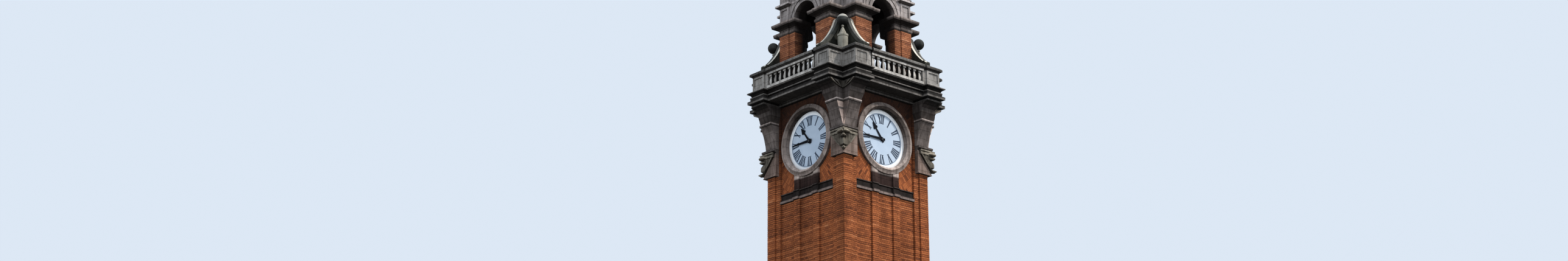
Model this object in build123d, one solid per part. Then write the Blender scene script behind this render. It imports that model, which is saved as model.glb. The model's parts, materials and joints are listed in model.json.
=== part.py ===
from build123d import *
import os
from math import cos, pi, radians, sin, sqrt

# A brick and stone clock tower: a square shaft, a clock stage with four dials, a balcony on corner
# brackets, an open belfry on a Greek-cross plan and a domed roof. Millimetres, +Z up, the origin on
# the ground at the centre of the plan. The front is the -Y side. Heights of the upper works are
# measured from the centre of the dials and plan sizes from the axis of the tower.

# Heights above the ground
DIAL_HEIGHT = 22700
PLINTH_HEIGHT = 1100
GROUND_FLOOR = 200

# Heights from the centre of the dials
STRING_BOTTOM = -2150
STRING_TOP = -1800
WALL_HEAD = 1630
CORNICE_TOP = 2200
RAIL_TOP = 2300
COPING_BOTTOM = 2730
COPING_TOP = 2980
IMPOST_BOTTOM = 4440
IMPOST_TOP = 4920
BLOCK_CAP_BOTTOM = 5570
BLOCK_CAP_TOP = 5720
ARCH_TOP = 6100
ROOF_CORNICE_TOP = 6950
DRUM_TOP = 7800
DOME_TOP = 10300
FINIAL_TOP = 12200

# Shaft, as half widths from the axis
SHAFT_HALF = 2100
ROOM_HALF = 1550
PILASTER_EDGE = 1700
STEP_EDGE = 1450
STEP_DEPTH = 60
PANEL_DEPTH = 130
STRIP_CENTRE = 525
STRIP_WIDTH = 300
STRIP_DEPTH = 70
PLINTH_PROJECTION = 120
PLINTH_WEATHERING = 160

# Doorway in the front wall
DOOR_WIDTH = 1100
DOOR_SPRING = 2300
DOOR_SURROUND_WIDTH = 230
DOOR_SURROUND_PROJECTION = 90
DOOR_SET_BACK = 180
DOOR_THICKNESS = 70

# String course under the dials, projecting from the sunk field
STRING_FRIEZE = 25
STRING_TOP_PROJECTION = 60
STRING_LOW_PROJECTION = 90
STRING_FILLET = 30
STRING_MOULDING = 80
STRING_BREAK = 70

# Dial, hands and their stone ring
DIAL_RADIUS = 1120
BEZEL_WIDTH = 140
BEZEL_PROUD = 30
DIAL_FACE = 1870
DIAL_THICKNESS = 60
RING_WIDTH = 240
RING_PROUD = 130
RING_SLEEVE = 110
RING_DEPTH = 260
STUB_WIDTH = 280
STUB_DEPTH = 80
APRON_DEPTH = 20
SPINDLE_RADIUS = 22
RUNNING_CLEARANCE = 0.3
HAND_THICKNESS = 12
HAND_GAP = 8
HOUR_BOSS = 90
MINUTE_BOSS = 75
HOUR_LENGTH = 740
HOUR_TAIL = 130
MINUTE_LENGTH = 950
MINUTE_TAIL = 140
CAP_RADIUS = 45
CAP_THICKNESS = 18
HOUR_HAND_BACK = DIAL_FACE + 2 * HAND_GAP
MINUTE_HAND_BACK = HOUR_HAND_BACK + HAND_THICKNESS + HAND_GAP
HOURS = 12
MINUTES = 60
CLOCK_HOUR = 10
CLOCK_MINUTE = 45

# Corner brackets under the balcony, as projections from the shaft
BRACKET_START = 1530
CARTOUCHE_BOTTOM = -1050
CARTOUCHE_PROJECTION = 110
CARTOUCHE_FILLET = 20
SMALL_CORNICE_BOTTOM = -120
SMALL_CORNICE_TOP = 10
SMALL_CORNICE_PROJECTION = 170
CONSOLE_FOOT = 50
CONSOLE_TOP = 910
CONSOLE_PROJECTION = 330
CONSOLE_NOTCH = 300
CONSOLE_CURVE = ((0, 0), (0.25, 0.19), (0.5, 0.42), (0.75, 0.68), (1, 1))
CAP_MOULD_TOP = 1010
CAP_MOULD_PROJECTION = 375
CAPITAL_NECK = 1280
CAPITAL_PROJECTION = 430
CAPITAL_NOTCH = 380
CAPITAL_START = 1455

# Balcony
CORNICE_SIDE_HALF = 2640
CORNER_HALF = 2830
CORNER_NOTCH = 690
CORNER_START = 1490
CORNICE_PROJECTION = 155
CORNICE_BED = 1750
CYMA_RISE = 360
BED_HALF = 2110
FASCIA_PROJECTION = 60
FLOOR_THICKNESS = 180
FLOOR_LEDGE = 100
PEDESTAL_RETURN = 170
PEDESTAL_RETURN_SET_BACK = 60
COPING_PROJECTION = 90
RAIL_CENTRE = 2690
RAIL_WIDTH = 280
BALUSTER_COUNT = 10
BALUSTER_WIDTH = 130

# Sunk panels of the dies and of the blocks beside the arches
PANEL_MARGIN = 80
PANEL_RECESS = 45

# Belfry
ARM_HALF = 1420
ARM_PILASTER = 920
BELFRY_OPENING = 600
BELFRY_STRIP_DEPTH = 40
JAMB_DEPTH = 540
IMPOST_PROJECTION = 238
NECK_TOP = 4570
ARCHIVOLT_PROUD = 45
ARCHIVOLT_GROOVE = 40
ARCHIVOLT_MARGIN = 8
BLOCK_CAP_PROJECTION = 130

# Scroll buttresses and ball finials
WING_THICKNESS = 240
WING_REACH = 2800
WING_FOOT = 140
WING_TOP = 4430
WING_SHOULDER = 4290
WING_NECK = 1950
WING_CROWN = 1760
WING_SAG = 110
WING_COPING = 130
WING_COPING_PROUD = 35
WING_VOLUTE = 85
BALL_RADIUS = 215
BALL_CLEARANCE = 85
BALL_PLACE = ARM_HALF + WING_THICKNESS + BALL_RADIUS + BALL_CLEARANCE
BALL_HEIGHT = 4200
BARREL_RADIUS = 193
BARREL_TOP = 3500
RIM_RADIUS = 205
RIM_TOP = 3590
CONE_RADIUS = 149
CONE_TIP = 30
TIP_BALL = 47

# Roof
ROOF_CORNICE_PROJECTION = 420
ROOF_CORNICE_DEPTH = 430
CEILING_THICKNESS = 150
ATTIC_WALL = 400
DRUM_HALF = 1500
DRUM_WALL = 260
DRUM_STEP = 380
DOME_HALF = 1620
DOME_SHELL = 120
DOME_NECK = 190
FINIAL_BALL = 230
FINIAL_RISE = 560
ROUND_SIDES = 24

SIDES = {"front": 0, "right": 90, "back": 180, "left": 270}
CORNERS = {"front_left": 0, "front_right": 90, "back_right": 180, "back_left": 270}


def polygon(points, height=0.0):
    """A flat face through the points at one height above the dials' centre."""
    return Pos(0, 0, DIAL_HEIGHT + height) * make_face(Polyline(*points, close=True))


def prism(points, bottom, top):
    """An upright prism; the heights are from the dials' centre."""
    return extrude(polygon(points, bottom), amount=top - bottom)


def block(low, high):
    """A box between two corners, in heights above the ground."""
    size = [b - a for a, b in zip(low, high)]
    return Pos(*low) * Box(*size, align=(Align.MIN, Align.MIN, Align.MIN))


def joined(points):
    """The points without neighbours that coincide."""
    kept = [p for i, p in enumerate(points) if (p - points[i - 1]).length > 0.001]
    return kept if len(kept) > 2 else []


def stack(plan, levels):
    """A moulding with flat faces; levels are (height from the dials' centre, arguments of plan)."""
    rings = [[Vector(x, y, DIAL_HEIGHT + height) for x, y in plan(*sizes)] for height, *sizes in levels]
    outlines = [rings[0], rings[-1]]
    for low, high in zip(rings, rings[1:]):
        for i in range(len(low)):
            outlines.append([low[i - 1], low[i], high[i], high[i - 1]])
    faces = [Face(Wire.make_polygon(joined(points))) for points in outlines if joined(points)]
    solid = Solid(Shell(faces))
    return solid if solid.volume > 0 else Solid(Shell([-face for face in faces]))


def cavetto(low, high, start, end, steps=4):
    """Levels along a hollow quarter round, upright at its foot."""
    turns = [pi / 2 * i / steps for i in range(steps + 1)]
    return [(low + (high - low) * sin(turn), start + (end - start) * (1 - cos(turn))) for turn in turns]


def square_plan(half):
    return [(-half, -half), (half, -half), (half, half), (-half, half)]


def ring_plan(radius):
    """A circle as a polygon with many sides."""
    turns = [2 * pi * (i + 0.5) / ROUND_SIDES for i in range(ROUND_SIDES)]
    return [(radius * cos(turn), radius * sin(turn)) for turn in turns]


def ball(centre, radius, steps=10):
    """Levels of a ball with small flat poles."""
    turns = [pi * (i + 0.5) / (steps + 1) for i in range(steps + 1)]
    return [(centre - radius * cos(turn), radius * sin(turn)) for turn in turns]


def turn_to(angle, solid):
    return Rot(0, 0, angle) * solid


def around(solid):
    """The four copies of a front or front-left piece."""
    return [turn_to(angle, solid) for angle in SIDES.values()]


def front_plane(depth, height=0.0):
    """The drawing plane of the front, seen from outside, this far from the axis."""
    return Plane(origin=(0, -depth, DIAL_HEIGHT + height), x_dir=(1, 0, 0), z_dir=(0, -1, 0))


def turned(points):
    """A ring about the front dial's axis, from (radius, depth from the tower's axis) points."""
    outline = make_face(Polyline(*[(radius, -depth) for radius, depth in points], close=True))
    return revolve(Pos(0, 0, DIAL_HEIGHT) * outline, Axis((0, 0, DIAL_HEIGHT), (0, 1, 0)))


def recess(centre, width, depth, low, high):
    """The sunk panel of a front face this far from the axis, inside its margins."""
    size = (width - 2 * PANEL_MARGIN, 2 * PANEL_RECESS, high - low)
    return Pos(centre, -depth, DIAL_HEIGHT + (low + high) / 2) * Box(*size)


def save(name, *solids):
    shape = Compound(children=[Solid(s.wrapped) for piece in solids for s in piece.solids()])
    export_step(shape, f"parts/{name}.step")


# Shaft

def corner_pier():
    half, step, inner = SHAFT_HALF, SHAFT_HALF - STEP_DEPTH, ROOM_HALF
    outline = [(half, half), (PILASTER_EDGE, half), (PILASTER_EDGE, step), (STEP_EDGE, step),
               (STEP_EDGE, inner), (inner, inner), (inner, STEP_EDGE), (step, STEP_EDGE),
               (step, PILASTER_EDGE), (half, PILASTER_EDGE)]
    return prism([(-x, -y) for x, y in outline], PLINTH_HEIGHT - DIAL_HEIGHT, WALL_HEAD)


def shaft_wall():
    field, strip = SHAFT_HALF - PANEL_DEPTH, SHAFT_HALF - PANEL_DEPTH + STRIP_DEPTH
    bottom, top = PLINTH_HEIGHT, DIAL_HEIGHT + STRING_BOTTOM
    wall = block((-STEP_EDGE, -field, bottom), (STEP_EDGE, -ROOM_HALF, top))
    for side in (-1, 1):
        centre = side * STRIP_CENTRE
        wall += block((centre - STRIP_WIDTH / 2, -strip, bottom), (centre + STRIP_WIDTH / 2, -field, top))
    return wall


def door_outline(grow=0.0):
    half = DOOR_WIDTH / 2 + grow
    return Polygon((-half, 0), (half, 0), (half, DOOR_SPRING), (-half, DOOR_SPRING), align=None) + Pos(
        0, DOOR_SPRING) * Circle(half)


def door_cut(grow, near, far):
    """The doorway's outline, grown, from one depth to another."""
    plane = Plane(origin=(0, -near, GROUND_FLOOR), x_dir=(1, 0, 0), z_dir=(0, -1, 0))
    return extrude(plane * door_outline(grow), amount=far - near)


def plinth():
    outer = SHAFT_HALF + PLINTH_PROJECTION
    ground = -DIAL_HEIGHT
    top = PLINTH_HEIGHT - DIAL_HEIGHT
    body = stack(square_plan, [(ground, outer), (top - PLINTH_WEATHERING, outer), (top, SHAFT_HALF)])
    return body - prism(square_plan(ROOM_HALF), ground - 1, top + 1)


# Clock stage

def string_course():
    field = SHAFT_HALF - PANEL_DEPTH
    low, high = field + STRING_LOW_PROJECTION, field + STRING_TOP_PROJECTION
    frieze = field + STRING_FRIEZE
    moulding = STRING_BOTTOM + STRING_MOULDING
    profile = [(ROOM_HALF, STRING_BOTTOM), (low, STRING_BOTTOM), (low, moulding),
               (frieze, moulding + STRING_LOW_PROJECTION - STRING_FRIEZE),
               (frieze, STRING_TOP - STRING_FILLET - STRING_FRIEZE), (high, STRING_TOP - STRING_FILLET),
               (high, STRING_TOP), (ROOM_HALF, STRING_TOP)]

    def run(centre, width, forward=0.0):
        points = [(-y - (forward if y > field else 0), z) for y, z in profile]
        plane = Plane(origin=(centre - width / 2, 0, DIAL_HEIGHT), x_dir=(0, 1, 0), z_dir=(1, 0, 0))
        return extrude(plane * make_face(Polyline(*points, close=True)), amount=width)

    course = run(0, 2 * STEP_EDGE)
    for side in (-1, 1):
        course += run(side * STRIP_CENTRE, STRIP_WIDTH, STRING_BREAK)
    return course


def dial_wall():
    face = SHAFT_HALF - PANEL_DEPTH
    bottom, top = DIAL_HEIGHT + STRING_TOP, DIAL_HEIGHT + WALL_HEAD
    wall = block((-STEP_EDGE, -face, bottom), (STEP_EDGE, -ROOM_HALF, top))
    hole = DIAL_RADIUS + RING_SLEEVE
    return wall - turned([(0, ROOM_HALF - 1), (hole, ROOM_HALF - 1), (hole, face + 1), (0, face + 1)])


def dial_surround():
    """The stone ring with two stubs and an apron between them, down to the string course."""
    face = SHAFT_HALF - PANEL_DEPTH
    inner, hole, outer = DIAL_RADIUS, DIAL_RADIUS + RING_SLEEVE, DIAL_RADIUS + RING_WIDTH
    front = face + RING_PROUD
    ring = turned([(inner, face - RING_DEPTH), (hole, face - RING_DEPTH), (hole, face), (outer, face),
                   (outer, front - 20), (outer - 60, front), (inner + 90, front + 40), (inner, front - 30)])
    reach = STRIP_CENTRE + STUB_WIDTH / 2
    bottom, top = DIAL_HEIGHT + STRING_TOP, DIAL_HEIGHT - DIAL_RADIUS
    base = block((-reach, -face - APRON_DEPTH, bottom), (reach, -face, top))
    for side in (-1, 1):
        left = side * STRIP_CENTRE - STUB_WIDTH / 2
        base += block((left, -face - STUB_DEPTH, bottom), (left + STUB_WIDTH, -face, top))
    far = front + RING_PROUD
    return ring + (base - turned([(0, face), (outer - 30, face), (outer - 30, far), (0, far)]))


def clock_dial():
    front = DIAL_FACE + BEZEL_PROUD
    back = DIAL_FACE - DIAL_THICKNESS
    inner = DIAL_RADIUS - BEZEL_WIDTH
    plate = turned([(0, back), (DIAL_RADIUS, back), (DIAL_RADIUS, front - 12), (DIAL_RADIUS - 40, front),
                    (inner + 30, front), (inner, DIAL_FACE), (0, DIAL_FACE)])
    end = MINUTE_HAND_BACK + HAND_THICKNESS + RUNNING_CLEARANCE
    spindle = turned([(0, DIAL_FACE - 10), (SPINDLE_RADIUS, DIAL_FACE - 10), (SPINDLE_RADIUS, end),
                      (CAP_RADIUS, end), (CAP_RADIUS - 8, end + CAP_THICKNESS), (0, end + CAP_THICKNESS)])
    return plate + spindle


def hand(outline, boss, depth, turn):
    """One hand, cut from plate, this part of a turn clockwise from twelve."""
    flat = outline + Circle(boss) - Circle(SPINDLE_RADIUS + RUNNING_CLEARANCE)
    return extrude(front_plane(depth) * (Rot(0, 0, -360 * turn) * flat), amount=HAND_THICKNESS)


def hour_hand():
    leaf = HOUR_LENGTH * 0.70
    shank = Polygon((-42, 0), (42, 0), (26, leaf), (-26, leaf), align=None)
    spade = Polygon((-95, leaf), (0, leaf - 100), (95, leaf), (0, HOUR_LENGTH), align=None)
    lobes = Pos(-50, leaf - 14) * Circle(52) + Pos(50, leaf - 14) * Circle(52)
    tail = Polygon((30, 0), (-30, 0), (-48, -HOUR_TAIL), (48, -HOUR_TAIL), align=None)
    turn = (CLOCK_HOUR + CLOCK_MINUTE / MINUTES) / HOURS
    return hand(shank + spade + lobes + tail, HOUR_BOSS, HOUR_HAND_BACK, turn)


def minute_hand():
    shoulder = MINUTE_LENGTH * 0.86
    blade = Polygon((-54, 0), (54, 0), (28, shoulder), (0, MINUTE_LENGTH), (-28, shoulder), align=None)
    tail = Polygon((32, 0), (-32, 0), (-50, -MINUTE_TAIL), (50, -MINUTE_TAIL), align=None)
    return hand(blade + tail, MINUTE_BOSS, MINUTE_HAND_BACK, CLOCK_MINUTE / MINUTES)


# Corner brackets

def corner_plan(projection, notch=1.0, start=BRACKET_START):
    """Two arms that wrap the shaft's front-left corner and its steps, notched at their outer corner."""
    half, inner = SHAFT_HALF + projection, SHAFT_HALF
    step, edge = SHAFT_HALF - STEP_DEPTH, PILASTER_EDGE
    outline = [(start, step), (start, half), (half - notch, half), (half - notch, half - notch),
               (half, half - notch), (half, start), (step, start), (step, edge),
               (inner, edge), (inner, inner), (edge, inner), (edge, step)]
    return [(-x, -y) for x, y in outline]


def corner_bracket():
    low, out = CARTOUCHE_BOTTOM, CARTOUCHE_PROJECTION
    cartouche = stack(corner_plan, [
        (low, out + CARTOUCHE_FILLET), (low + CARTOUCHE_FILLET, out + CARTOUCHE_FILLET),
        (low + 2 * CARTOUCHE_FILLET, out), (SMALL_CORNICE_BOTTOM - 100, out),
        (SMALL_CORNICE_BOTTOM, out - 50)])
    cornice = stack(corner_plan, [
        (SMALL_CORNICE_BOTTOM, out), (SMALL_CORNICE_BOTTOM + 60, SMALL_CORNICE_PROJECTION),
        (SMALL_CORNICE_TOP, SMALL_CORNICE_PROJECTION)])
    rise, swell = CONSOLE_TOP - SMALL_CORNICE_TOP, CONSOLE_PROJECTION - CONSOLE_FOOT
    levels = [(SMALL_CORNICE_TOP + t * rise, CONSOLE_FOOT + curve * swell, 1 + t * CONSOLE_NOTCH)
              for t, curve in CONSOLE_CURVE]
    console = stack(corner_plan, levels)
    cap = stack(corner_plan, [(CONSOLE_TOP, CAP_MOULD_PROJECTION, CONSOLE_NOTCH + 20),
                              (CAP_MOULD_TOP, CAP_MOULD_PROJECTION, CONSOLE_NOTCH + 20)])
    top, neck = CORNER_HALF - SHAFT_HALF, CAPITAL_PROJECTION
    widening = (CORNER_NOTCH - CAPITAL_NOTCH) / (top - neck)
    bell = [(z, p, CAPITAL_NOTCH + widening * (p - neck), CAPITAL_START)
            for z, p in cavetto(CAPITAL_NECK, WALL_HEAD, neck, top)]
    capital = stack(corner_plan, [(CAP_MOULD_TOP, CONSOLE_PROJECTION, CONSOLE_NOTCH, BRACKET_START)] + bell)
    return cartouche + cornice + console + cap + capital


# Balcony

def balcony_plan(side, corner):
    """The balcony's outline: a square whose notched corners break forward."""
    grow = corner - CORNER_HALF
    start, inner = CORNER_START - grow, corner - CORNER_NOTCH
    quarter = [(start, side), (start, corner), (inner, corner), (inner, inner),
               (corner, inner), (corner, start), (side, start)]
    outline = []
    for x_sign, y_sign, order in ((-1, -1, -1), (1, -1, 1), (1, 1, -1), (-1, 1, 1)):
        corner_points = [(x_sign * x, y_sign * y) for x, y in quarter]
        outline += corner_points[::order]
    return outline


def main_cornice():
    """The balcony's cornice; between the corners its lowest part stands back to the wall."""
    side, corner, out, fascia = CORNICE_SIDE_HALF, CORNER_HALF, CORNICE_PROJECTION, FASCIA_PROJECTION
    bed, tip = BED_HALF, CORNICE_TOP - 40
    body = stack(balcony_plan, [
        (WALL_HEAD, bed, corner + 30), (WALL_HEAD + 60, bed, corner + 30),
        (WALL_HEAD + 80, bed + 10, corner), (CORNICE_BED, bed + 20, corner + out - 40),
        (CORNICE_BED, side + fascia, corner + out - 15),
        (CORNICE_BED + 110, side + fascia, corner + out - 15),
        (CORNICE_BED + 130, side, corner + fascia), (CORNICE_BED + 190, side, corner + fascia),
        (CORNICE_BED + 230, side + fascia, corner + fascia + 10),
        (CORNICE_BED + 270, side + fascia, corner + fascia + 10),
        (CORNICE_BED + 290, side + 20, corner + 20),
        (CORNICE_BED + CYMA_RISE, side + fascia, corner + fascia),
        (tip, side + out, corner + out), (CORNICE_TOP, side + out, corner + out)])
    body -= prism(square_plan(ROOM_HALF), WALL_HEAD - 1, CORNICE_TOP + 1)
    ledge = square_plan(ROOM_HALF + FLOOR_LEDGE)
    return body - prism(ledge, CORNICE_TOP - FLOOR_THICKNESS, CORNICE_TOP + 1)


def balcony_floor():
    ledge = square_plan(ROOM_HALF + FLOOR_LEDGE)
    return prism(ledge, CORNICE_TOP - FLOOR_THICKNESS, CORNICE_TOP)


def pedestal_plan(grow=0.0):
    """A corner pedestal on the front left, from the belfry's notch out to the two dies."""
    start, out, notch = CORNER_START - grow, CORNER_HALF + grow, CORNER_HALF - CORNER_NOTCH + grow
    arm, face = ARM_HALF, SHAFT_HALF
    outline = [(arm, arm), (arm, face), (start, face), (start, out), (notch, out), (notch, notch),
               (out, notch), (out, start), (face, start), (face, arm)]
    return [(-x, -y) for x, y in outline]


def corner_pedestal():
    face, notch = CORNER_HALF, CORNER_HALF - CORNER_NOTCH
    body = stack(pedestal_plan, [
        (CORNICE_TOP, 30), (RAIL_TOP - 40, 30), (RAIL_TOP, 0), (COPING_TOP - 170, 0),
        (COPING_TOP - 110, COPING_PROJECTION - 20), (COPING_TOP - 110, COPING_PROJECTION),
        (COPING_TOP - 40, COPING_PROJECTION), (COPING_TOP, COPING_PROJECTION - 30)])
    bottom, top = RAIL_TOP + PANEL_MARGIN, COPING_TOP - 170 - PANEL_MARGIN
    panels = [recess(-(CORNER_START + notch) / 2, notch - CORNER_START, face, bottom, top),
              recess(-(face + notch) / 2, CORNER_NOTCH, notch, bottom, top)]
    body -= panels + [mirror(turn_to(-90, panel), about=Plane.XZ) for panel in panels]
    low, high = CORNER_START - PEDESTAL_RETURN, CORNER_START
    out = CORNER_HALF - PEDESTAL_RETURN_SET_BACK
    back = RAIL_CENTRE - RAIL_WIDTH / 2
    first = block((-high, -out, DIAL_HEIGHT + CORNICE_TOP), (-low, -back, DIAL_HEIGHT + COPING_TOP - 110))
    second = block((-out, -high, DIAL_HEIGHT + CORNICE_TOP), (-back, -low, DIAL_HEIGHT + COPING_TOP - 110))
    return body + (first + second)


def baluster():
    """One square vase baluster, from the bottom rail to the coping."""
    half = BALUSTER_WIDTH / 2
    widths = [(0.0, half), (0.10, half), (0.10, 0.66 * half), (0.18, 0.80 * half), (0.34, 0.94 * half),
              (0.50, 0.84 * half), (0.74, 0.58 * half), (0.84, 0.58 * half), (0.84, half), (1.0, half)]
    rise = COPING_BOTTOM - RAIL_TOP
    return stack(square_plan, [(RAIL_TOP + t * rise, w) for t, w in widths])


def balustrade():
    half = CORNER_START - PEDESTAL_RETURN
    near, far = RAIL_CENTRE - RAIL_WIDTH / 2, RAIL_CENTRE + RAIL_WIDTH / 2
    rail = block((-half, -far, DIAL_HEIGHT + CORNICE_TOP), (half, -near, DIAL_HEIGHT + RAIL_TOP))
    out = CORNER_HALF + COPING_PROJECTION
    inside = near - COPING_PROJECTION
    profile = [(near, COPING_BOTTOM), (far, COPING_BOTTOM), (far, COPING_TOP - 170),
               (out - 20, COPING_TOP - 110), (out, COPING_TOP - 110), (out, COPING_TOP - 40),
               (out - 30, COPING_TOP), (inside + 30, COPING_TOP), (inside, COPING_TOP - 40),
               (inside, COPING_TOP - 110), (near, COPING_TOP - 170)]
    plane = Plane(origin=(-half, 0, DIAL_HEIGHT), x_dir=(0, 1, 0), z_dir=(1, 0, 0))
    section = make_face(Polyline(*[(-y, z) for y, z in profile], close=True))
    coping = extrude(plane * section, amount=2 * half)
    pitch = 2 * half / BALUSTER_COUNT
    shaft = baluster()
    for i in range(BALUSTER_COUNT):
        coping += Pos(-half + pitch * (i + 0.5), -RAIL_CENTRE, 0) * shaft
    return rail + coping


# Belfry

def pier_plan(grow=0.0):
    """A belfry pier on the front left: two pilasters, two strips, two jambs and a splayed inside."""
    face, strip = SHAFT_HALF + grow, SHAFT_HALF - BELFRY_STRIP_DEPTH + grow
    edge, jamb, arm = ARM_PILASTER - grow, BELFRY_OPENING - grow, ARM_HALF + grow
    splay = BELFRY_OPENING + SHAFT_HALF - JAMB_DEPTH - sqrt(2) * grow - jamb
    outline = [(strip, jamb), (strip, edge), (face, edge), (face, arm), (arm, arm), (arm, face),
               (edge, face), (edge, strip), (jamb, strip), (jamb, splay), (splay, jamb)]
    return [(-x, -y) for x, y in outline]


def belfry_pier():
    return prism(pier_plan(), CORNICE_TOP, IMPOST_BOTTOM)


def impost():
    out = IMPOST_PROJECTION
    return stack(pier_plan, [
        (IMPOST_BOTTOM, 20), (IMPOST_BOTTOM + 50, 45), (NECK_TOP, 45), (NECK_TOP, 10), (NECK_TOP + 110, 10),
        (NECK_TOP + 160, 60), (IMPOST_TOP - 140, out - 70), (IMPOST_TOP - 130, out - 20),
        (IMPOST_TOP - 40, out), (IMPOST_TOP, out)])


def arch_cap(side):
    """The cap of a block beside the arch, mitred into the belfry's notch."""
    edge, arm, face, strip = ARM_PILASTER, ARM_HALF, SHAFT_HALF, SHAFT_HALF - BELFRY_STRIP_DEPTH

    def plan(grow):
        outline = [(edge - grow, strip), (edge - grow, face + grow), (arm + grow, face + grow),
                   (arm + grow, arm + grow), (arm, arm), (arm, strip)]
        return [(side * x, -y) for x, y in outline]

    out = BLOCK_CAP_PROJECTION
    return stack(plan, [(BLOCK_CAP_BOTTOM, 10), (BLOCK_CAP_BOTTOM + 60, out - 30),
                        (BLOCK_CAP_BOTTOM + 70, out), (BLOCK_CAP_TOP, out)])


def belfry_arch():
    face, strip, back = SHAFT_HALF, SHAFT_HALF - BELFRY_STRIP_DEPTH, SHAFT_HALF - JAMB_DEPTH
    mid = (BELFRY_OPENING + back) / 2
    half = [(ARM_PILASTER, strip), (ARM_PILASTER, face), (ARM_HALF, face), (ARM_HALF, ARM_HALF), (mid, mid),
            (BELFRY_OPENING, back)]
    outline = half + [(-x, y) for x, y in reversed(half)]
    wall = prism([(x, -y) for x, y in outline], IMPOST_TOP, ARCH_TOP)
    outer = ARM_PILASTER - ARCHIVOLT_MARGIN
    width = (outer - BELFRY_OPENING - ARCHIVOLT_GROOVE) / 2
    rings = Circle(outer) - Circle(outer - width) + Circle(BELFRY_OPENING + width)
    upper = Pos(0, outer) * Rectangle(2 * outer, 2 * outer)
    wall += extrude(front_plane(strip, IMPOST_TOP) * (rings & upper), amount=ARCHIVOLT_PROUD)
    low, high = IMPOST_TOP + PANEL_MARGIN, BLOCK_CAP_BOTTOM - PANEL_MARGIN
    for side in (-1, 1):
        wall += arch_cap(side)
        wall -= recess(side * (ARM_PILASTER + ARM_HALF) / 2, ARM_HALF - ARM_PILASTER, face, low, high)
    return wall - extrude(front_plane(0, IMPOST_TOP) * Circle(BELFRY_OPENING), amount=2 * face)


# Scroll buttresses

def wing():
    """A scroll buttress beside the front arm, its foot on the pedestal, drawn in side view."""
    base = COPING_TOP
    inside = ARM_HALF
    toe = base + WING_FOOT
    with BuildLine() as outline:
        Polyline((-inside, base), (-WING_REACH, base), (-WING_REACH, toe))
        hollow = SagittaArc((-WING_REACH, toe), (-WING_NECK, WING_SHOULDER), -WING_SAG)
        TangentArc(hollow @ 1, (-WING_CROWN, WING_TOP), tangent=hollow % 1)
        Polyline((-WING_CROWN, WING_TOP), (-inside, WING_TOP), (-inside, base))
    side = make_face(outline.line)
    shift = WING_COPING / sqrt(2)
    coping = side - Pos(shift, -shift) * side
    volute = Pos(-WING_REACH + WING_VOLUTE, toe) * Circle(WING_VOLUTE)

    def plate(face, thickness):
        plane = Plane(origin=(-ARM_HALF - thickness, 0, DIAL_HEIGHT), x_dir=(0, 1, 0), z_dir=(1, 0, 0))
        return extrude(plane * face, amount=thickness)

    return plate(side, WING_THICKNESS) + plate(coping + volute, WING_THICKNESS + WING_COPING_PROUD)


def scroll_buttress():
    first = wing()
    second = mirror(turn_to(-90, first), about=Plane.XZ)
    return first + second


def ball_finial():
    """A ball on the tip of an urn: a round barrel, a rim and a cone with a small ball on it."""
    neck = BALL_HEIGHT - BALL_RADIUS
    tip = neck - TIP_BALL
    urn = stack(ring_plan, [
        (COPING_TOP, BARREL_RADIUS), (BARREL_TOP, BARREL_RADIUS), (BARREL_TOP + 20, RIM_RADIUS),
        (RIM_TOP, RIM_RADIUS), (RIM_TOP + 30, CONE_RADIUS), (tip - TIP_BALL, CONE_TIP),
        (tip - 20, TIP_BALL), (tip + 20, TIP_BALL), (neck, CONE_TIP), (neck + CONE_TIP, CONE_TIP)])
    sphere = stack(ring_plan, ball(BALL_HEIGHT, BALL_RADIUS))
    return Pos(-BALL_PLACE, -BALL_PLACE, 0) * (urn + sphere)


# Roof

def cross_plan(grow):
    """The Greek-cross outline of the belfry, grown outwards."""
    reach, arm = SHAFT_HALF + grow, ARM_HALF + grow
    quarter = [(arm, reach), (arm, arm), (reach, arm)]
    outline = []
    for x_sign, y_sign, order in ((-1, -1, -1), (1, -1, 1), (1, 1, -1), (-1, 1, 1)):
        points = [(x_sign * x, y_sign * y) for x, y in quarter]
        outline += points[::order]
    return outline


def roof_cornice():
    out = ROOF_CORNICE_PROJECTION
    top = ROOF_CORNICE_TOP
    body = stack(cross_plan, [
        (ARCH_TOP, 40), (ARCH_TOP + 120, 40), (ARCH_TOP + 120, 0), (top - ROOF_CORNICE_DEPTH, 0),
        (top - 330, 150), (top - 250, out - 60), (top - 120, out - 60), (top - 30, out), (top, out)])
    return body - prism(cross_plan(-ATTIC_WALL), ARCH_TOP + CEILING_THICKNESS, ROOF_CORNICE_TOP + 1)


def octagon(across):
    """An octagon this far from its centre to its sides."""
    corner = across / cos(pi / 8)
    return [(corner * cos(radians(22.5 + 45 * i)), corner * sin(radians(22.5 + 45 * i))) for i in range(8)]


def roof_drum():
    half, base = DRUM_HALF, ROOF_CORNICE_TOP
    deck = stack(octagon, [
        (base, half + DRUM_STEP), (base + 120, half + DRUM_STEP), (base + 220, half),
        (DRUM_TOP - 150, half), (DRUM_TOP - 60, half + 160), (DRUM_TOP, half + 160)])
    return deck - prism(octagon(half - DRUM_WALL), ROOF_CORNICE_TOP - 1, DRUM_TOP + 1)


def ogee(reach, neck, low, high):
    """Levels of a bell-shaped dome: swelling below, hollow above."""
    levels = []
    for t in (0, 0.08, 0.18, 0.28, 0.38, 0.48, 0.58, 0.70, 0.84, 1):
        wave = (1 + cos(pi * t)) / 2
        levels.append((low + (high - low) * t, neck + (reach - neck) * wave))
    return levels


def dome():
    outside = stack(octagon, ogee(DOME_HALF, DOME_NECK, DRUM_TOP, DOME_TOP))
    inside = stack(octagon, ogee(DOME_HALF - DOME_SHELL, DOME_NECK - DOME_SHELL, DRUM_TOP, DOME_TOP))
    return outside - inside


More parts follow.
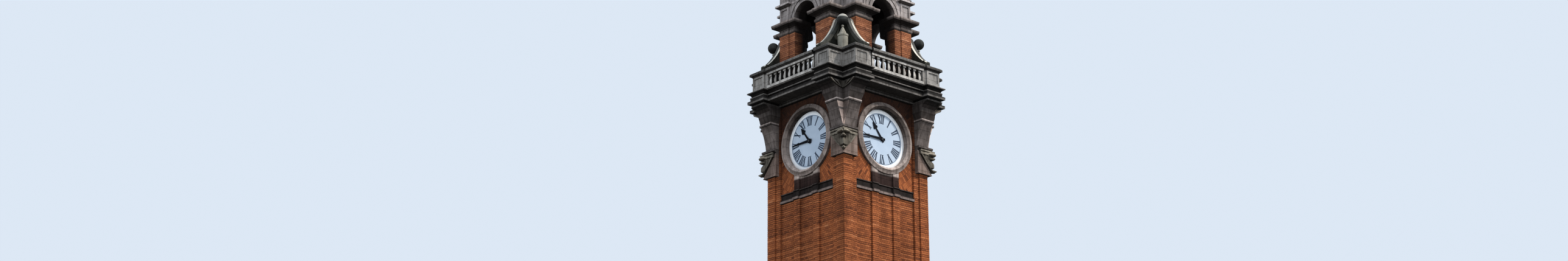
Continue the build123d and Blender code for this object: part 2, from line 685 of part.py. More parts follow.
def roof_finial():
    base = DOME_TOP
    middle = base + FINIAL_RISE
    foot = stack(ring_plan, [(base, 260), (base + 60, 260), (base + 160, 120), (middle, 90)])
    sphere = stack(ring_plan, ball(middle, FINIAL_BALL))
    spike = stack(ring_plan, [(middle, 45), (FINIAL_TOP, 12)])
    return foot + sphere + spike


# Doorway

def door_surround():
    wall = SHAFT_HALF - PANEL_DEPTH
    outer = SHAFT_HALF + PLINTH_PROJECTION + DOOR_SURROUND_PROJECTION
    frame = door_cut(DOOR_SURROUND_WIDTH, wall - 240, outer - PLINTH_PROJECTION)
    return frame - door_cut(0, wall - 250, outer + 1)


def door():
    back = SHAFT_HALF - PANEL_DEPTH - DOOR_SET_BACK
    return door_cut(0, back, back + DOOR_THICKNESS)


def build():
    os.makedirs("parts", exist_ok=True)
    walls = around(shaft_wall())
    opening = door_cut(DOOR_SURROUND_WIDTH, ROOM_HALF - 1, SHAFT_HALF + PLINTH_PROJECTION + 1)
    base = plinth() - opening
    save("plinth", base)
    save("ground_floor", block((-ROOM_HALF, -ROOM_HALF, 0), (ROOM_HALF, ROOM_HALF, GROUND_FLOOR)))
    save("door_surround", door_surround())
    save("door", door())
    walls[0] -= opening
    for (name, angle), wall in zip(SIDES.items(), walls):
        save(f"shaft_wall_{name}", wall)
        save(f"dial_wall_{name}", turn_to(angle, dial_wall()))
        save(f"minute_hand_{name}", turn_to(angle, minute_hand()))
        save(f"hour_hand_{name}", turn_to(angle, hour_hand()))
        save(f"balustrade_{name}", turn_to(angle, balustrade()))
        save(f"belfry_arch_{name}", turn_to(angle, belfry_arch()))
    for name, angle in CORNERS.items():
        save(f"corner_pier_{name}", turn_to(angle, corner_pier()))
        save(f"belfry_pier_{name}", turn_to(angle, belfry_pier()))
    save("string_courses", *around(string_course()))
    save("dial_surrounds", *around(dial_surround()))
    save("clock_dials", *around(clock_dial()))
    save("corner_brackets", *around(corner_bracket()))
    save("main_cornice", main_cornice())
    save("balcony_floor", balcony_floor())
    save("corner_pedestals", *around(corner_pedestal()))
    save("imposts", *around(impost()))
    save("scroll_buttresses", *around(scroll_buttress()))
    save("ball_finials", *around(ball_finial()))
    save("roof_cornice", roof_cornice())
    save("roof_drum", roof_drum())
    save("dome", dome())
    save("roof_finial", roof_finial())


build()
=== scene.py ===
# %% [markdown]
# # A clock tower in brick and stone
#
# The solids of the tower come from a CAD frame, and their sizes and places are fixed. What is left for this
# script is what a bricklayer, a carver and a painter would add: the courses of brick, the carved corners,
# the numerals of the dials, and a hundred years of weather on every surface, with light and shade painted
# into much of it.

# %% Load the frame
import json
import math
import random

import bmesh
import bpy
from mathutils import Matrix, Vector


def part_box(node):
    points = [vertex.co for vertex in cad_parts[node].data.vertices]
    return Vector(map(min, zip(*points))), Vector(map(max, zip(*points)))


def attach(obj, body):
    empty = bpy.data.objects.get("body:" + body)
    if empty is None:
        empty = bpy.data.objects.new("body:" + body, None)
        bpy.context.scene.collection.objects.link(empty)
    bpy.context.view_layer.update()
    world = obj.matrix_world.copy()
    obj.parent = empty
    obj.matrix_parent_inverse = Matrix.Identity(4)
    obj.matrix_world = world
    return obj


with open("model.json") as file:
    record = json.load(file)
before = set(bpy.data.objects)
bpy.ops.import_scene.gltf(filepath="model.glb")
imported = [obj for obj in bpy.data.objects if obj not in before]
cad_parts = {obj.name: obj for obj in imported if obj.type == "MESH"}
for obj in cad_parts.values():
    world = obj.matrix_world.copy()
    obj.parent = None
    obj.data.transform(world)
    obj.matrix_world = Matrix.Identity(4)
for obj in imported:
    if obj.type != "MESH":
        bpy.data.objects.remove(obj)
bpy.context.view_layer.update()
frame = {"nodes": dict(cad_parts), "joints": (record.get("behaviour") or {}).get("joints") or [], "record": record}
SIDES = {"front": 0, "right": 90, "back": 180, "left": 270}
CORNERS = {"front_left": 0, "front_right": 90, "back_right": 180, "back_left": 270}

# %% [markdown]
# A few heights and depths are used again and again. They are read from the frame where it holds them, so
# that a piece made here moves with the solid that carries it.

# %% Heights and depths of the tower
DIAL_HEIGHT = frame["joints"][0]["pos_m"][2]
PLINTH_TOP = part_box("plinth")[1].z
SHAFT_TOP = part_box("shaft_wall_back")[1].z
WALL_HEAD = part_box("dial_wall_back")[1].z
BELFRY_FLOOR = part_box("main_cornice")[1].z
IMPOST_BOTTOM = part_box("imposts")[0].z
SHAFT_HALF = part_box("corner_pier_back_right")[1].x
STEP_DEPTH, COPING_DEPTH = 0.06, 0.17
STEP_FACE = SHAFT_HALF - STEP_DEPTH
DIAL_WALL_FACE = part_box("dial_wall_back")[1].y
STEP_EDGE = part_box("dial_wall_back")[1].x
COPING_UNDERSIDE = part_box("balustrade_front")[1].z - COPING_DEPTH
print("dials", DIAL_HEIGHT, "wall head", WALL_HEAD, "shaft half", SHAFT_HALF)

# %% [markdown]
# ## The camera
#
# The photograph was taken from the ground, some way off and well below the dials, with a long lens. The
# camera stands at eye height and looks up at the near corner. A lens of 42 mm on a 36 mm sensor gives the
# narrow strip that the photograph shows.

# %% Camera
EYE = Vector((-44.164, -47.692, 1.57))
HEADING = math.radians(40.72)
PITCH = math.radians(18.672)
LENS = 41.875

camera = bpy.data.objects.new("camera", bpy.data.cameras.new("camera"))
camera.data.lens = LENS
camera.data.sensor_width = 36
camera.data.clip_end = 500
camera.location = EYE
camera.rotation_euler = (math.pi / 2 + PITCH, 0, -HEADING)
bpy.context.collection.objects.link(camera)
bpy.context.scene.camera = camera
print("camera at", tuple(round(value, 2) for value in EYE))

# %% [markdown]
# ## Floor, sky and light
#
# A plain pale floor and an even pale sky stand in for a studio. One large soft sun comes from the front and
# a little from the right, which is where the light of the photograph comes from: it leaves the left side in
# a light shade and puts a dark band under each cornice. Sky and floor together give more than half of the
# light, so the shaded side keeps its colour.

# %% Floor and light
FLOOR_REACH = 150
FLOOR_CORNERS = ((-1, -1), (1, -1), (1, 1), (-1, 1))
SUN_DIRECTION = Vector((0.62, -1.0, 1.05))
SUN_STRENGTH, SUN_SPREAD, SUN_COLOUR = 2.65, math.radians(6), (1.0, 0.96, 0.90)
SKY_STRENGTH, SKY_COLOUR = 1.06, (0.68, 0.76, 0.86, 1)

floor_mesh = bpy.data.meshes.new("floor")
floor_mesh.from_pydata([(x * FLOOR_REACH, y * FLOOR_REACH, 0) for x, y in FLOOR_CORNERS], [], [(0, 1, 2, 3)])
floor = bpy.data.objects.new("floor", floor_mesh)
bpy.context.collection.objects.link(floor)

sun = bpy.data.objects.new("sun", bpy.data.lights.new("sun", "SUN"))
sun.data.energy = SUN_STRENGTH
sun.data.angle = SUN_SPREAD
sun.data.color = SUN_COLOUR
sun.rotation_euler = SUN_DIRECTION.to_track_quat("Z", "Y").to_euler()
bpy.context.collection.objects.link(sun)

world = bpy.data.worlds.new("studio")
world.use_nodes = True
sky = world.node_tree.nodes["Background"].inputs
sky["Color"].default_value = SKY_COLOUR
sky["Strength"].default_value = SKY_STRENGTH
bpy.context.scene.world = world
bpy.context.scene.view_settings.view_transform = "Standard"
print("sun", SUN_STRENGTH, "sky", SKY_STRENGTH)

# %% [markdown]
# ## Helpers for node trees
#
# Materials and Geometry Nodes are both trees, so one helper adds a node to either: it sets what it is given
# as a number, and links what it is given as a socket. The others are the steps that most finishes here
# share.

# %% Tree helpers
def add(tree, kind, inputs=None, **settings):
    """A new node in a tree, with its inputs set or linked."""
    made = tree.nodes.new(kind)
    for key, value in settings.items():
        setattr(made, key, value)
    for key, value in (inputs or {}).items():
        if isinstance(value, bpy.types.NodeSocket):
            tree.links.new(value, made.inputs[key])
        else:
            made.inputs[key].default_value = value
    return made


def calc(tree, operation, *values):
    """The result of one math node."""
    return add(tree, "ShaderNodeMath", dict(enumerate(values)), operation=operation).outputs[0]


def product(tree, *values):
    """All the values multiplied together."""
    result = values[0]
    for value in values[1:]:
        result = calc(tree, "MULTIPLY", result, value)
    return result


def mixed(tree, factor, first, second, blend="MIX"):
    """One colour over another; a mix node has many sockets of one name, so they are found by identifier."""
    made = add(tree, "ShaderNodeMix", data_type="RGBA", blend_type=blend)
    for name, value in (("Factor_Float", factor), ("A_Color", first), ("B_Color", second)):
        socket = next(s for s in made.inputs if s.identifier == name)
        if isinstance(value, bpy.types.NodeSocket):
            tree.links.new(value, socket)
        else:
            socket.default_value = value if name == "Factor_Float" else (*value, 1)
    return next(s for s in made.outputs if s.identifier == "Result_Color")


def tinted(tree, first, second):
    """Two colours multiplied."""
    return mixed(tree, 1.0, first, second, "MULTIPLY")


def ramp(tree, factor, stops):
    """A colour ramp from (place, colour) stops; a plain number stands for a grey."""
    made = add(tree, "ShaderNodeValToRGB", {"Fac": factor})
    bands = made.color_ramp.elements
    while len(bands) < len(stops):
        bands.new(0.5)
    for band, (place, tone) in zip(bands, stops):
        band.position = place
        band.color = (*(tone if isinstance(tone, tuple) else (tone,) * 3), 1)
    return made.outputs["Color"]


def noise(tree, coords, scale, detail=4.0, roughness=0.55):
    """A cloudy value between 0 and 1."""
    return add(tree, "ShaderNodeTexNoise", {"Vector": coords, "Scale": scale, "Detail": detail,
                                            "Roughness": roughness}).outputs["Fac"]


def stretched(tree, coords, scale, location=(0, 0, 0)):
    """Coordinates scaled by axis, so that a pattern on them runs longer one way."""
    return add(tree, "ShaderNodeMapping", {"Vector": coords, "Scale": scale, "Location": location}).outputs[0]


# %% [markdown]
# Many finishes depend on where on the tower a point is. The tower is the same on all four sides, so the
# smaller and the larger of |x| and |y| say more than x and y themselves, and heights count from the dials'
# centre.

# %% Places on the tower
def parts_of(tree, vector):
    """The parts of a vector, as sockets called X, Y and Z."""
    return add(tree, "ShaderNodeSeparateXYZ", {"Vector": vector}).outputs


def place_on_tower(tree, coords):
    """A point's height above the dials' centre, |x| and |y|."""
    parts = parts_of(tree, coords)
    return (calc(tree, "SUBTRACT", parts["Z"], DIAL_HEIGHT), calc(tree, "ABSOLUTE", parts["X"]),
            calc(tree, "ABSOLUTE", parts["Y"]))


def banded(tree, coords, stops):
    """A colour that changes with height, from (height above the dials' centre, gain or colour) stops."""
    low, high = stops[0][0], stops[-1][0]
    rise = calc(tree, "SUBTRACT", parts_of(tree, coords)["Z"], DIAL_HEIGHT + low)
    return ramp(tree, calc(tree, "DIVIDE", rise, high - low),
                [((height - low) / (high - low), tone) for height, tone in stops])


def new_material(name, roughness, shine=0.5):
    """A material, its tree, its shader and its Object coordinates; rough masonry has next to no shine."""
    made = bpy.data.materials.new(name)
    made.use_nodes = True
    tree = made.node_tree
    shader = tree.nodes["Principled BSDF"]
    shader.inputs["Roughness"].default_value = roughness
    shader.inputs["Specular IOR Level"].default_value = shine
    return made, tree, shader, add(tree, "ShaderNodeTexCoord").outputs["Object"]


def colour_and_bump(tree, shader, colour, height=None, distance=0.0):
    """The last step of a material: its colour, and its relief where it has one."""
    tree.links.new(colour, shader.inputs["Base Color"])
    if height is not None:
        relief = add(tree, "ShaderNodeBump", {"Height": height, "Distance": distance})
        tree.links.new(relief.outputs["Normal"], shader.inputs["Normal"])


# %% [markdown]
# ## Brick
#
# The bricks are orange-red facings, laid in English garden wall bond: three courses of stretchers, then one
# of headers. Each brick made below carries a number called tint, and this material turns it into one of the
# tones of a kiln load, from burnt headers to pale stretchers. A slow noise adds the rain stains that run
# over many courses, and a fine one gives the surface its grain. Soot gathers where the balcony keeps the
# rain off, and painted shade is laid over it there, so the wall darkens towards the balcony's underside and
# again behind the balustrade. The open belfry has painted shade inside, and outside its bricks have faded in
# the weather.

# %% Soot and painted shade
MASONRY_SHINE = 0.08
# A near-black for soot and painted shade, and its share by height above the dials' centre: soot with painted shade
# under the balcony, and painted shade on the piers behind the balustrade. The same black paints the shade of the
# belfry's room.
SOOT_AND_SHADE = (0.014, 0.011, 0.010)
SOOT_AND_SHADE_AMOUNT = [(-1.5, 0.0), (-0.7, 0.30), (0.0, 0.66), (1.2, 0.86), (2.1, 0.94), (3.12, 0.94), (3.30, 0.10),
               (4.4, 0.04)]
BELFRY_FADE = [(2.9, 1.0), (3.2, (1.08, 1.32, 1.75)), (4.5, (1.08, 1.32, 1.75))]
# Where painted shade darkens the belfry's room and the openings into it.
BELFRY_MIDDLE, BELFRY_REACH = 4.2, 1.95
ROOM_SHADE_FROM, NOTCH_WALL = 1.2, 1.35


def with_room_shade(tree, coords, colour, black=0.44, unshaded=0.84):
    """Painted shade, black in the belfry's room and fading out in the openings that lead into it."""
    rise, *far = place_on_tower(tree, coords)
    outward = calc(tree, "SUBTRACT", calc(tree, "MAXIMUM", *far), ROOM_SHADE_FROM)
    belfry = calc(tree, "COMPARE", rise, BELFRY_MIDDLE, BELFRY_REACH)
    inside = calc(tree, "LESS_THAN", calc(tree, "MINIMUM", *far), NOTCH_WALL)
    amount = product(tree, ramp(tree, outward, [(black, 1.0), (unshaded, 0.0)]), belfry, inside)
    return mixed(tree, amount, colour, SOOT_AND_SHADE)


def sooted_and_shaded(tree, coords, colour):
    """Brick faded round the belfry, with soot and painted shade by height and painted shade in the room."""
    faded = tinted(tree, colour, banded(tree, coords, BELFRY_FADE))
    return with_room_shade(tree, coords, mixed(tree, banded(tree, coords, SOOT_AND_SHADE_AMOUNT), faded, SOOT_AND_SHADE))


print("soot is heaviest", max(share for height, share in SOOT_AND_SHADE_AMOUNT))

# %% Brick material
STAIN_SCALE, STAIN_PLACE = (1.0, 1.0, 0.28), (2.6, 7.3, 0.0)
KILN_TONES = [(0.0, (0.120, 0.038, 0.018)), (0.14, (0.215, 0.066, 0.027)), (0.45, (0.310, 0.094, 0.034)),
              (0.8, (0.385, 0.124, 0.046)), (1.0, (0.440, 0.165, 0.070))]


def rain_stained(tree, coords, colour, stops):
    """Long upright stains, the same on the bricks and on the wall behind them."""
    stain = noise(tree, stretched(tree, coords, STAIN_SCALE, STAIN_PLACE), 1.1, 5.0, 0.6)
    return tinted(tree, colour, ramp(tree, stain, stops))


def brick_material():
    """The face of a brick, whose tone comes from its own tint."""
    made, tree, shader, coords = new_material("facing brick", 0.9, MASONRY_SHINE)
    tone = ramp(tree, add(tree, "ShaderNodeAttribute", attribute_name="tint").outputs["Fac"], KILN_TONES)
    weathered = rain_stained(tree, coords, tone, [(0.30, (0.52, 0.50, 0.50)), (0.52, 1.0),
                                                  (0.75, (1.15, 1.08, 1.0))])
    colour_and_bump(tree, shader, sooted_and_shaded(tree, coords, weathered), noise(tree, coords, 55.0, 6.0, 0.7), 0.004)
    return made


facing_brick = brick_material()
print("kiln tones", len(KILN_TONES))

# %% [markdown]
# The CAD walls themselves only show in the joints, on the short returns and inside the belfry. They get the
# same bond as a texture, on x + y along the wall and z up, so that its lines meet the joints of the real
# bricks.

# %% Joint and backing material
BRICK_LENGTH, BRICK_HEIGHT, JOINT = 0.215, 0.065, 0.010
COURSES = round((SHAFT_TOP - PLINTH_TOP) / (BRICK_HEIGHT + JOINT))
GAUGE = (SHAFT_TOP - PLINTH_TOP) / COURSES


def along_wall(tree, coords, bottom):
    """A vector whose x runs along any upright wall and whose y is the height above the bottom."""
    parts = parts_of(tree, coords)
    run = calc(tree, "ADD", parts["X"], parts["Y"])
    rise = calc(tree, "SUBTRACT", parts["Z"], bottom)
    return add(tree, "ShaderNodeCombineXYZ", {"X": run, "Y": rise}).outputs[0]


def backing_material():
    """Brickwork as a texture, for the walls behind the bricks."""
    made, tree, shader, coords = new_material("brick backing", 0.95, MASONRY_SHINE)
    bond = add(tree, "ShaderNodeTexBrick", {
        "Vector": along_wall(tree, coords, PLINTH_TOP), "Color1": (0.20, 0.050, 0.016, 1),
        "Color2": (0.27, 0.070, 0.022, 1), "Mortar": (0.045, 0.025, 0.016, 1), "Scale": 1.0,
        "Mortar Size": JOINT, "Mortar Smooth": 0.1, "Brick Width": BRICK_LENGTH + JOINT, "Row Height": GAUGE})
    weathered = rain_stained(tree, coords, bond.outputs["Color"], [(0.30, (0.55, 0.53, 0.52)), (0.6, 1.0)])
    colour_and_bump(tree, shader, sooted_and_shaded(tree, coords, weathered),
                    calc(tree, "SUBTRACT", 1.0, bond.outputs["Fac"]), 0.006)
    return made


brick_backing = backing_material()
print("courses of the shaft", COURSES, "gauge", round(GAUGE, 4))

# %% [markdown]
# ## Stone
#
# Sandstone in a town turns brown and black where soot settles and rain doesn't reach, and stays pale where
# it is washed. Which way a face looks decides that, so the material darkens what faces down and lightens
# what faces up, which also paints shade under each stone and light on its top. On top of that come slow
# blotches, thin vertical streaks, and the fine joints between the stones. One recipe serves every stone of
# the tower, and two things make them differ: bands of height, and a last step of their own. Both hold
# painted light and shade as well as weathering.

# %% Stone material
ASHLAR_LENGTH, ASHLAR_HEIGHT, ASHLAR_JOINT = 0.62, 0.31, 0.005
BLOTCHES = [(0.32, 0.60), (0.5, 1.0), (0.72, 1.45)]
STREAKS = [(0.38, (0.50, 0.48, 0.46)), (0.56, 1.0)]
# Gains by which way a face looks: soot and painted shade on faces that look down, rain washing and painted light
# on faces that look up.
RAIN_WASH_AND_FACING_LIGHT = [(0.0, (0.10, 0.095, 0.09)), (0.25, (0.30, 0.28, 0.27)), (0.47, 1.0), (0.53, 1.0)]
FULLY_WASHED_AND_LIT = 0.85


def stone_material(name, colour, wash_and_light_gain=1.5, bands=None, joints=True, weather_and_light=None):
    """Weathered sandstone with painted shade below and painted light above; the gain is how much paler upper faces
    are.
    """
    made, tree, shader, coords = new_material(name, 0.88, MASONRY_SHINE)
    tone = ramp(tree, noise(tree, coords, 1.7, 6.0, 0.62),
                [(place, tuple(value * gain for value in colour)) for place, gain in BLOTCHES])
    streak = noise(tree, stretched(tree, coords, (9.0, 9.0, 0.7)), 1.0, 3.0, 0.5)
    stained = mixed(tree, 0.7, tone, tinted(tree, tone, ramp(tree, streak, STREAKS)))
    facing = parts_of(tree, add(tree, "ShaderNodeNewGeometry").outputs["Normal"])
    upward = calc(tree, "MULTIPLY_ADD", facing["Z"], 0.5, 0.5)
    # painted shade on faces that look down, painted light on faces that look up
    shaded = tinted(tree, stained, ramp(tree, upward, RAIN_WASH_AND_FACING_LIGHT + [(FULLY_WASHED_AND_LIT, wash_and_light_gain)]))
    if bands:
        shaded = tinted(tree, shaded, banded(tree, coords, bands))
    if weather_and_light:
        shaded = weather_and_light(tree, coords, facing, shaded)
    grain = noise(tree, coords, 22.0, 8.0, 0.65)
    if joints:
        ashlar = add(tree, "ShaderNodeTexBrick", {
            "Vector": along_wall(tree, coords, DIAL_HEIGHT), "Color1": (0.92, 0.92, 0.92, 1),
            "Color2": (1, 1, 1, 1), "Mortar": (0.42, 0.40, 0.38, 1), "Mortar Size": ASHLAR_JOINT,
            "Mortar Smooth": 0.2, "Scale": 1.0, "Brick Width": ASHLAR_LENGTH, "Row Height": ASHLAR_HEIGHT})
        shaded = tinted(tree, shaded, ashlar.outputs["Color"])
        grain = calc(tree, "SUBTRACT", grain, ashlar.outputs["Fac"])
    colour_and_bump(tree, shader, shaded, grain, 0.006)
    return made


print("blocks of", ASHLAR_LENGTH, "by", ASHLAR_HEIGHT)

# %% [markdown]
# The upper edge of a moulding is washed white by rain and is painted as lit, and the hollow under it is black
# with soot and painted shade. A soft shader can't show that from far away, so each moulded course has a table
# of heights, above the dials' centre, with the gain that its stone has there: painted highlights on upper
# edges, and painted shade in the hollows and towards the balcony.

# %% Bands of the mouldings, with painted highlights and painted shade
UNDER_COPING = COPING_UNDERSIDE - DIAL_HEIGHT
DARK_COPING = [(2.2, 1.0), (UNDER_COPING - 0.01, 1.0), (UNDER_COPING, 0.28), (3.0, 0.34)]
# painted highlights on the upper edges of the cornice's fillets, and painted shade in the hollows under them
CORNICE_LIGHT_AND_SHADE_BANDS = [(1.60, 1.4), (1.695, 1.4), (1.70, 0.5), (1.745, 0.5), (1.75, 3.0), (1.81, 3.0), (1.82, 0.7),
                 (1.975, 0.6), (1.98, 2.7), (2.025, 2.7), (2.03, 0.55), (2.155, 0.7), (2.16, 3.2),
                 (2.20, 3.2)]
# a painted highlight on the impost's upper edge, and painted shade on its body below
IMPOST_LIGHT_AND_SHADE_BANDS = [(4.44, 1.15), (4.60, 1.15), (4.61, 0.75), (4.84, 0.70), (4.855, 2.4), (4.92, 2.2)]
# a painted highlight on the moulding of the arch, and painted shade under it
ARCH_LIGHT_AND_SHADE_BANDS = [(4.92, 1.12), (5.56, 1.12), (5.58, 0.75), (5.65, 0.75), (5.665, 1.6), (5.72, 1.6), (5.73, 0.9),
              (6.10, 1.0)]
# a painted highlight on the lower moulding, and painted shade on the fascia above it
STRING_LIGHT_AND_SHADE_BANDS = [(-2.15, 4.8), (-2.075, 4.4), (-2.065, 0.50), (-1.84, 0.50), (-1.83, 1.6), (-1.80, 1.4)]
# the apron under the dial: darker stone with painted shade; the ring: painted lighter at the bottom and darker
# towards the top, as shade from the balcony
RING_TONE_AND_SHADE_BANDS = [(-1.80, (0.095, 0.065, 0.062)), (-1.42, (0.145, 0.105, 0.10)), (-1.35, 1.45), (-0.5, 1.15),
              (0.5, 0.80), (1.36, 0.50)]
# below, the block behind the shield in its own warmer, paler stone; near the top, a thin painted highlight with
# painted shade under it, and painted shade that deepens towards the balcony
BRACKET_TONE_LIGHT_AND_SHADE_BANDS = [(-1.06, (1.75, 1.52, 1.38)), (-0.24, (1.55, 1.34, 1.22)), (-0.13, 0.95), (0.005, 0.85),
                 (0.015, 1.75), (0.90, 1.50), (0.915, 0.70), (0.965, 0.80), (0.97, 3.7), (1.015, 3.3),
                 (1.03, 0.80), (1.63, 0.42)]
FINIAL_BANDS = [(2.9, (4.2, 3.9, 3.4)), (3.97, (4.6, 4.2, 3.7)), (3.98, 0.8), (4.5, 0.9)]
print("coping starts", round(UNDER_COPING, 3), "above the dials' centre")

# %% [markdown]
# The last step of a stone is its own. The wings have one thin painted highlight along their edge and painted
# light on faces that look up, the ball at the front left corner a pale crown of painted light and rain
# washing, the balusters painted light on their fronts and near-black painted shade on their flanks, the
# brackets painted light on the notch walls, strongest where they face the front, and the stones round the
# belfry painted shade inside. Carved stone gets soot and painted shade in its hollows.

# %% Weathering, painted light and painted shade of single stones
WING_FLANK, WING_BACK, NOTCH_EDGE = 1.668, 1.42, 2.115
BALL_HEIGHT, FRONT_LEFT_LIMIT = 4.0, -2.0
NOTCH_MIDDLE, NOTCH_REACH = 0.46, 0.44


def arch_room_shade(tree, coords, facing, shaded):
    """Painted shade as on the piers, but reaching further out, on the stones that roof the openings."""
    return with_room_shade(tree, coords, shaded, 0.66, 0.88)


def lit_and_washed_slopes(tree, coords, facing, shaded):
    """Painted light on the copings of the wings, with rain washing: a thin bright painted edge, paler upper faces.
    """
    across = calc(tree, "MINIMUM", *place_on_tower(tree, coords)[1:])
    worn = ramp(tree, noise(tree, coords, 5.0, 5.0), [(0.3, (0.17, 0.165, 0.15)), (0.7, (0.30, 0.29, 0.265))])
    side = mixed(tree, product(tree, calc(tree, "GREATER_THAN", across, WING_FLANK), 0.16), shaded, worn)
    # a thin bright painted highlight along the edge, and darker beyond it
    edge = ramp(tree, calc(tree, "SUBTRACT", across, WING_BACK), [(0.10, (3.0, 2.9, 2.7)), (0.13, 0.42)])
    return mixed(tree, ramp(tree, facing["Z"], [(0.12, 0.0), (0.22, 1.0)]), side, tinted(tree, worn, edge))


def lit_and_washed_crown(tree, coords, facing, shaded):
    """A pale crown of painted light and rain washing on the top of the ball at the front left corner."""
    parts = parts_of(tree, coords)
    at_front_left_corner = calc(tree, "LESS_THAN", calc(tree, "ADD", parts["X"], parts["Y"]), FRONT_LEFT_LIMIT)
    # painted light on the upward faces of that ball
    crown = ramp(tree, facing["Z"], [(0.30, 0.0), (0.46, 1.0)])
    ball = calc(tree, "GREATER_THAN", parts["Z"], DIAL_HEIGHT + BALL_HEIGHT)
    return mixed(tree, product(tree, crown, at_front_left_corner, ball), shaded, (0.50, 0.475, 0.42))


def lit_fronts_shaded_flanks(tree, coords, facing, shaded):
    """Painted light on the fronts of the balusters, and near-black painted shade on their flanks."""
    x_wall = calc(tree, "GREATER_THAN", *place_on_tower(tree, coords)[1:])
    along_x, along_y = (calc(tree, "ABSOLUTE", facing[axis]) for axis in "XY")
    along = calc(tree, "MULTIPLY_ADD", x_wall, calc(tree, "SUBTRACT", along_y, along_x), along_x)
    # painted light on the fronts, painted shade on the flanks
    return tinted(tree, shaded, ramp(tree, along, [(0.40, 1.20), (0.55, 0.42), (0.80, 0.34), (0.90, 0.07)]))


def lit_notches(tree, coords, facing, shaded):
    """Painted light on the walls of the brackets' notches, strong on those facing the front, slight on the rest.
    """
    rise, *far = place_on_tower(tree, coords)
    inside = product(tree, calc(tree, "GREATER_THAN", calc(tree, "MINIMUM", *far), NOTCH_EDGE),
                     calc(tree, "COMPARE", rise, NOTCH_MIDDLE, NOTCH_REACH))
    # painted light, strong on walls that face the front
    gain = mixed(tree, calc(tree, "LESS_THAN", facing["Y"], -0.5), (1.15, 1.08, 1.04), (3.6, 3.25, 3.0))
    return mixed(tree, inside, shaded, tinted(tree, shaded, gain))


def soot_and_shade_by_relief(tree, coords, facing, shaded):
    """Soot and painted shade in the hollows of carved stone, and a painted highlight on its clean ridges."""
    wear = add(tree, "ShaderNodeAttribute", attribute_name="wear").outputs["Fac"]
    return tinted(tree, shaded, ramp(tree, wear, [(0.08, (0.16, 0.15, 0.14)), (0.36, (0.70, 0.68, 0.64)),
                                                  (0.52, (1.0, 0.98, 0.94)), (0.80, (1.7, 1.65, 1.55))]))


print("notches are pale up to", NOTCH_MIDDLE + NOTCH_REACH)

# %% The stones of the tower
brown_stone = stone_material("brown sandstone", (0.130, 0.106, 0.094), weather_and_light=arch_room_shade)
arch_stone = stone_material("arch sandstone", (0.318, 0.280, 0.265), bands=ARCH_LIGHT_AND_SHADE_BANDS, weather_and_light=arch_room_shade)
impost_stone = stone_material("impost sandstone", (0.125, 0.103, 0.093), bands=IMPOST_LIGHT_AND_SHADE_BANDS, weather_and_light=arch_room_shade)
ring_stone = stone_material("dial ring sandstone", (0.300, 0.243, 0.215), bands=RING_TONE_AND_SHADE_BANDS)
bracket_stone = stone_material("bracket sandstone", (0.125, 0.104, 0.095), bands=BRACKET_TONE_LIGHT_AND_SHADE_BANDS,
                               weather_and_light=lit_notches)
sooty_stone = stone_material("sooty sandstone", (0.070, 0.062, 0.057), wash_and_light_gain=2.4)
cornice_stone = stone_material("sooty cornice", (0.052, 0.047, 0.043), 2.6, CORNICE_LIGHT_AND_SHADE_BANDS)
string_stone = stone_material("sooty string course", (0.046, 0.035, 0.031), 1.6, STRING_LIGHT_AND_SHADE_BANDS)
wing_stone = stone_material("olive stone", (0.034, 0.034, 0.027), joints=False, weather_and_light=lit_and_washed_slopes)
pedestal_stone = stone_material("grey stone with dark coping", (0.285, 0.266, 0.245), bands=DARK_COPING)
baluster_stone = stone_material("pale stone with dark coping", (0.400, 0.375, 0.345), 1.3, DARK_COPING,
                                joints=False, weather_and_light=lit_fronts_shaded_flanks)
slate_stone = stone_material("slate grey stone", (0.065, 0.066, 0.062), 1.4, FINIAL_BANDS, joints=False,
                             weather_and_light=lit_and_washed_crown)
print("stones", [m.name for m in bpy.data.materials if "stone" in m.name])

# %% [markdown]
# ## Dials, metalwork, lead and oak
#
# A dial is a sheet of pale opal glass in a white painted rim, with a black spindle in its middle. All are
# one solid, so the material tells them apart by the distance from the dial's centre: across the wall that
# is the smaller of |x| and |y|.

# %% Dial material
RIM_INNER, SPINDLE = 0.99, 0.06


def dial_material():
    """Glass, rim and spindle by their distance from the dial's centre."""
    made, tree, shader, coords = new_material("opal glass and white rim", 0.5)
    rise, *far = place_on_tower(tree, coords)
    across = calc(tree, "MINIMUM", *far)
    radius = calc(tree, "SQRT", calc(tree, "ADD", product(tree, across, across), product(tree, rise, rise)))
    glass = ramp(tree, noise(tree, coords, 1.3, 3.0),
                 [(0.35, (0.40, 0.49, 0.60)), (0.65, (0.48, 0.57, 0.68))])
    rim = ramp(tree, noise(tree, coords, 6.0, 4.0), [(0.3, (0.84, 0.86, 0.88)), (0.6, (0.94, 0.95, 0.96))])
    plate = mixed(tree, calc(tree, "GREATER_THAN", radius, RIM_INNER), glass, rim)
    spindle = calc(tree, "LESS_THAN", radius, SPINDLE)
    colour_and_bump(tree, shader, mixed(tree, spindle, plate, (0.008, 0.009, 0.012)))
    return made


dial_glass = dial_material()
print("glass inside", RIM_INNER)

# %% [markdown]
# The hands and numerals are painted, and the paint has dulled in patches. Lead is laid in sheets, so a dark
# seam crosses the dome at each sheet's height. The oak has grain along its boards and a groove between each
# two.

# %% Paint, lead and oak
LEAD_SHEET, LEAD_SEAM = 0.78, 0.035
DOOR_HALF, DOOR_BOARDS, BOARD_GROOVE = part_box("door")[1].x, 7, 0.06


def paint_material(name, base, worn, roughness, shine):
    """Old paint with worn patches."""
    made, tree, shader, coords = new_material(name, roughness, shine)
    colour_and_bump(tree, shader, ramp(tree, noise(tree, coords, 30.0, 5.0), [(0.35, base), (0.7, worn)]),
                    noise(tree, coords, 90.0, 3.0), 0.001)
    return made


def below(tree, value, period, share):
    """One in the first share of each period of a value, else zero."""
    return calc(tree, "LESS_THAN", calc(tree, "FRACT", calc(tree, "DIVIDE", value, period)), share)


